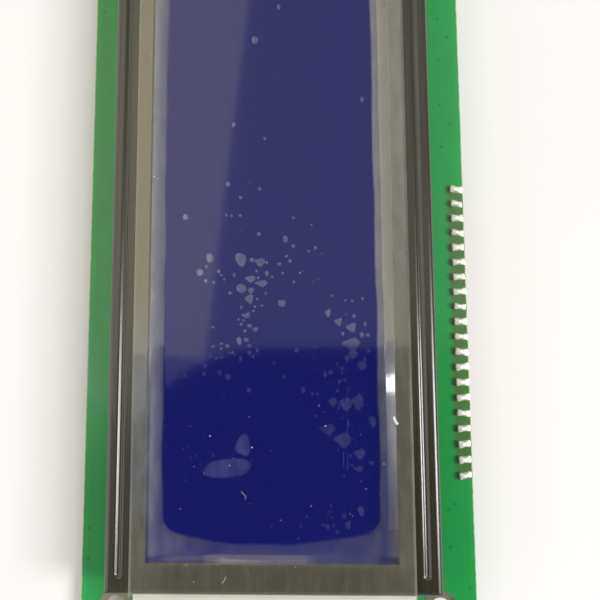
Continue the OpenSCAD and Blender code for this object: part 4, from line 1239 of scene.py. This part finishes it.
def make_board_art():
    """Tracks, pads and print on the back, a guard line round them, and vias on both sides."""
    copper, pads, chip_pads, prints, vias = [], [], [], [], []
    driver_art(copper, prints, vias)
    part_art(copper, pads, chip_pads, prints, vias)
    x, y = GUARD
    guard = [[(-x, -y), (x, -y), (x, y), (-x, y), (-x, -y)]]
    for name, paths, width, thickness, material, slot in (
            ("back_tracks", copper, 0.3, 0.03, copper_green, "solder_mask"),
            ("guard_track", guard, 1.2, 0.03, copper_green, "solder_mask"),
            ("lead_pads", pads, 0.6, 0.05, FINISHES["lead_tin"], "solder"),
            ("chip_pads", chip_pads, 1.35, 0.06, FINISHES["lead_tin"], "solder"),
            ("back_print", prints, 0.18, 0.04, print_white, "solder_mask")):
        level = board_back + ART_SINK - thickness / 2
        lay(name, [[(*point, level) for point in path] for path in paths], width, thickness, material, slot)
    back_places = [(*via, board_back + VIA_FORM[0][1]) for via in vias]
    front_places = [at_pixel(column, row, board_front) for column, row in FRONT_VIAS]
    for name, places, turn, material in (("back_vias", back_places, (math.pi, 0, 0), copper_green),
                                         ("front_vias", front_places, (0, 0, 0), via_green)):
        ring = turned("via_ring", VIA_FORM, VIA_SIDES, via_green)
        scatter(name, places, [1.0] * len(places), ring, turn, (0, 0, 0), material, "solder_mask")


make_board_art()

# Floor: it lies just under the tips of the header's pins and those of the bezel's tabs on the other side
FLOOR_SIDE = 3000
FLOOR_GAP = 0.02
TAB_HALF = 0.25
# The stretch of Y over which the floor greys away, and how many times darker it gets
FADE_Y = (50, 1050)
FADE_TIMES = 3.5
tab_y = bezel_low.y + TAB_HALF
floor_slope = (pin_low.z - bezel_low.z) / (pin_row_y - tab_y)


def make_floor():
    """A pale table that greys away towards the key lamp, so that it doesn't clip under it."""
    material, tree, place = begin("pale_table")
    clouds = add(tree, NOISE, {}, {"Vector": place, "Scale": 1 / (60 * MM), "Detail": 3.0})
    tint = add(tree, MIX, COLOURS, {0: clouds.outputs["Fac"], 6: colour("f9f6f4"), 7: colour("fcf9f8")})
    across = add(tree, AXES, {}, {0: place})
    nearness = add(tree, RANGE, {},
                   {"Value": across.outputs["Y"], "From Min": FADE_Y[0] * MM, "From Max": FADE_Y[1] * MM,
                    "To Min": 1.0, "To Max": FADE_TIMES})
    share = add(tree, MATH, {"operation": "DIVIDE"}, {0: 1.0, 1: nearness.outputs["Result"]})
    greyed = add(tree, "ShaderNodeVectorMath", {"operation": "SCALE"},
                 {0: tint.outputs[2], "Scale": share.outputs[0]})
    shader = add(tree, SURFACE, {},
                 {"Base Color": greyed.outputs[0], "Roughness": 0.6, "Specular IOR Level": 0.2})
    under = add(tree, "ShaderNodeNewGeometry").outputs["Backfacing"]
    clear = add(tree, "ShaderNodeBsdfTransparent")
    mixed = add(tree, "ShaderNodeMixShader", {}, {0: under, 1: shader.outputs[0], 2: clear.outputs[0]})
    close(tree, mixed.outputs[0])
    half = FLOOR_SIDE / 2
    corners = [(x, y, pin_low.z - FLOOR_GAP + floor_slope * (y - pin_row_y))
               for x, y in ((-half, -half), (half, -half), (half, half), (-half, half))]
    floor = new_piece("floor", corners, [(0, 1, 2, 3)], material, smooth=False)
    if floor.data.polygons[0].normal.z < 0:
        floor.data.flip_normals()


make_floor()


# Lamps: name, place, what it is turned to, direction of its first side, its two sides, radiance and tint
LAMPS = [
    ("key_lamp", (110, 760, 655), (0, 0, 0), (1, 0, 0), (300, 520), 15.8, "ffffff"),
    ("ceiling_panel", (15, -25, 420), (15, -25, 0), (1, 0, 0), (630, 550), 0.26, "ffffff"),
    ("fill_panel", (0, -900, 500), (0, 0, 0), (1, 0, 0), (1400, 700), 1.1, "ffffff"),
    ("warm_panel", (-170, -159.5, 402), (-170, -159.5, 0), (1, -0.116, 0), (337, 190), 0.8, "fff3c6"),
    ("small_lamp", (25.5, -203, 398), (25.5, -203, 0), (1, 0, 0), (14, 60), 9, "ffffff"),
]
SKY_STRENGTH = 0.3
# Dark card: two corners of its outline, the radius of its round corners and their steps, and its level
CARD_LOW = (0, -150)
CARD_HIGH = (420, 200)
CARD_CORNER = 110
CARD_STEPS = 12
CARD_LEVEL = 400


def area_lamp(name, place, aim, along, size, radiance, tint):
    """A flat soft lamp at a place, turned to an aim, its first side along a direction, all in millimetres."""
    data = bpy.data.lights.new(name, "AREA")
    data.shape = "RECTANGLE"
    data.size, data.size_y = size[0] * MM, size[1] * MM
    data.energy = radiance * math.pi * data.size * data.size_y
    data.color = colour(tint)[:3]
    lamp = bpy.data.objects.new(name, data)
    back = (Vector(place) - Vector(aim)).normalized()
    across = back.cross(Vector(along)).normalized()
    turn = Matrix((across.cross(back), across, back)).transposed().to_4x4()
    lamp.matrix_world = Matrix.Translation(Vector(place) * MM) @ turn
    lamp.visible_camera = False
    bpy.context.scene.collection.objects.link(lamp)


def make_light():
    """Even studio light: a key lamp from the header's side, a large dim panel across from it, one overhead,
    and above the far side a warm panel and a small lamp that show in the gloss of the film."""
    world = bpy.data.worlds.new("studio")
    world.use_nodes = True
    world.node_tree.nodes.clear()
    sky = add(world.node_tree, "ShaderNodeBackground", {},
              {"Color": colour("ffffff"), "Strength": SKY_STRENGTH})
    add(world.node_tree, "ShaderNodeOutputWorld", {}, {"Surface": sky.outputs[0]})
    bpy.context.scene.world = world
    for lamp in LAMPS:
        area_lamp(*lamp)


def make_dark_card():
    """A dark card over the lower end, which only the gloss of the film, the mask and the paint shows."""
    material, tree, _ = begin("dark_card")
    shader = add(tree, SURFACE, {}, {"Base Color": colour("2a2a2c"), "Roughness": 0.9})
    close(tree, shader.outputs[0])
    low_x, low_y = (side + CARD_CORNER for side in CARD_LOW)
    high_x, high_y = (side - CARD_CORNER for side in CARD_HIGH)
    points = []
    for x, y, start in ((high_x, high_y, 0), (low_x, high_y, 90), (low_x, low_y, 180), (high_x, low_y, 270)):
        for k in range(CARD_STEPS + 1):
            angle = math.radians(start + 90 * k / CARD_STEPS)
            points.append((*round_from(x, y, CARD_CORNER, angle), CARD_LEVEL))
    card = new_piece("dark_card", points, [tuple(range(len(points)))], material, smooth=False)
    card.visible_camera = False
    card.visible_diffuse = False
    card.visible_shadow = False
    card.visible_transmission = False


make_light()
make_dark_card()


def make_camera():
    """The camera that was fitted to the photo."""
    data = bpy.data.cameras.new("camera")
    data.sensor_width = SENSOR_WIDTH
    data.lens = FOCAL_PIXELS / PICTURE_SIDE * SENSOR_WIDTH
    data.clip_start = CLIP_START * MM
    camera = bpy.data.objects.new("camera", data)
    turn = Matrix((RIGHT, -DOWN, -FORWARD)).transposed().to_4x4()
    camera.matrix_world = Matrix.Translation(CAMERA_PLACE * MM) @ turn
    bpy.context.scene.collection.objects.link(camera)
    bpy.context.scene.camera = camera


make_camera()
bpy.context.scene.view_settings.view_transform = "Standard"
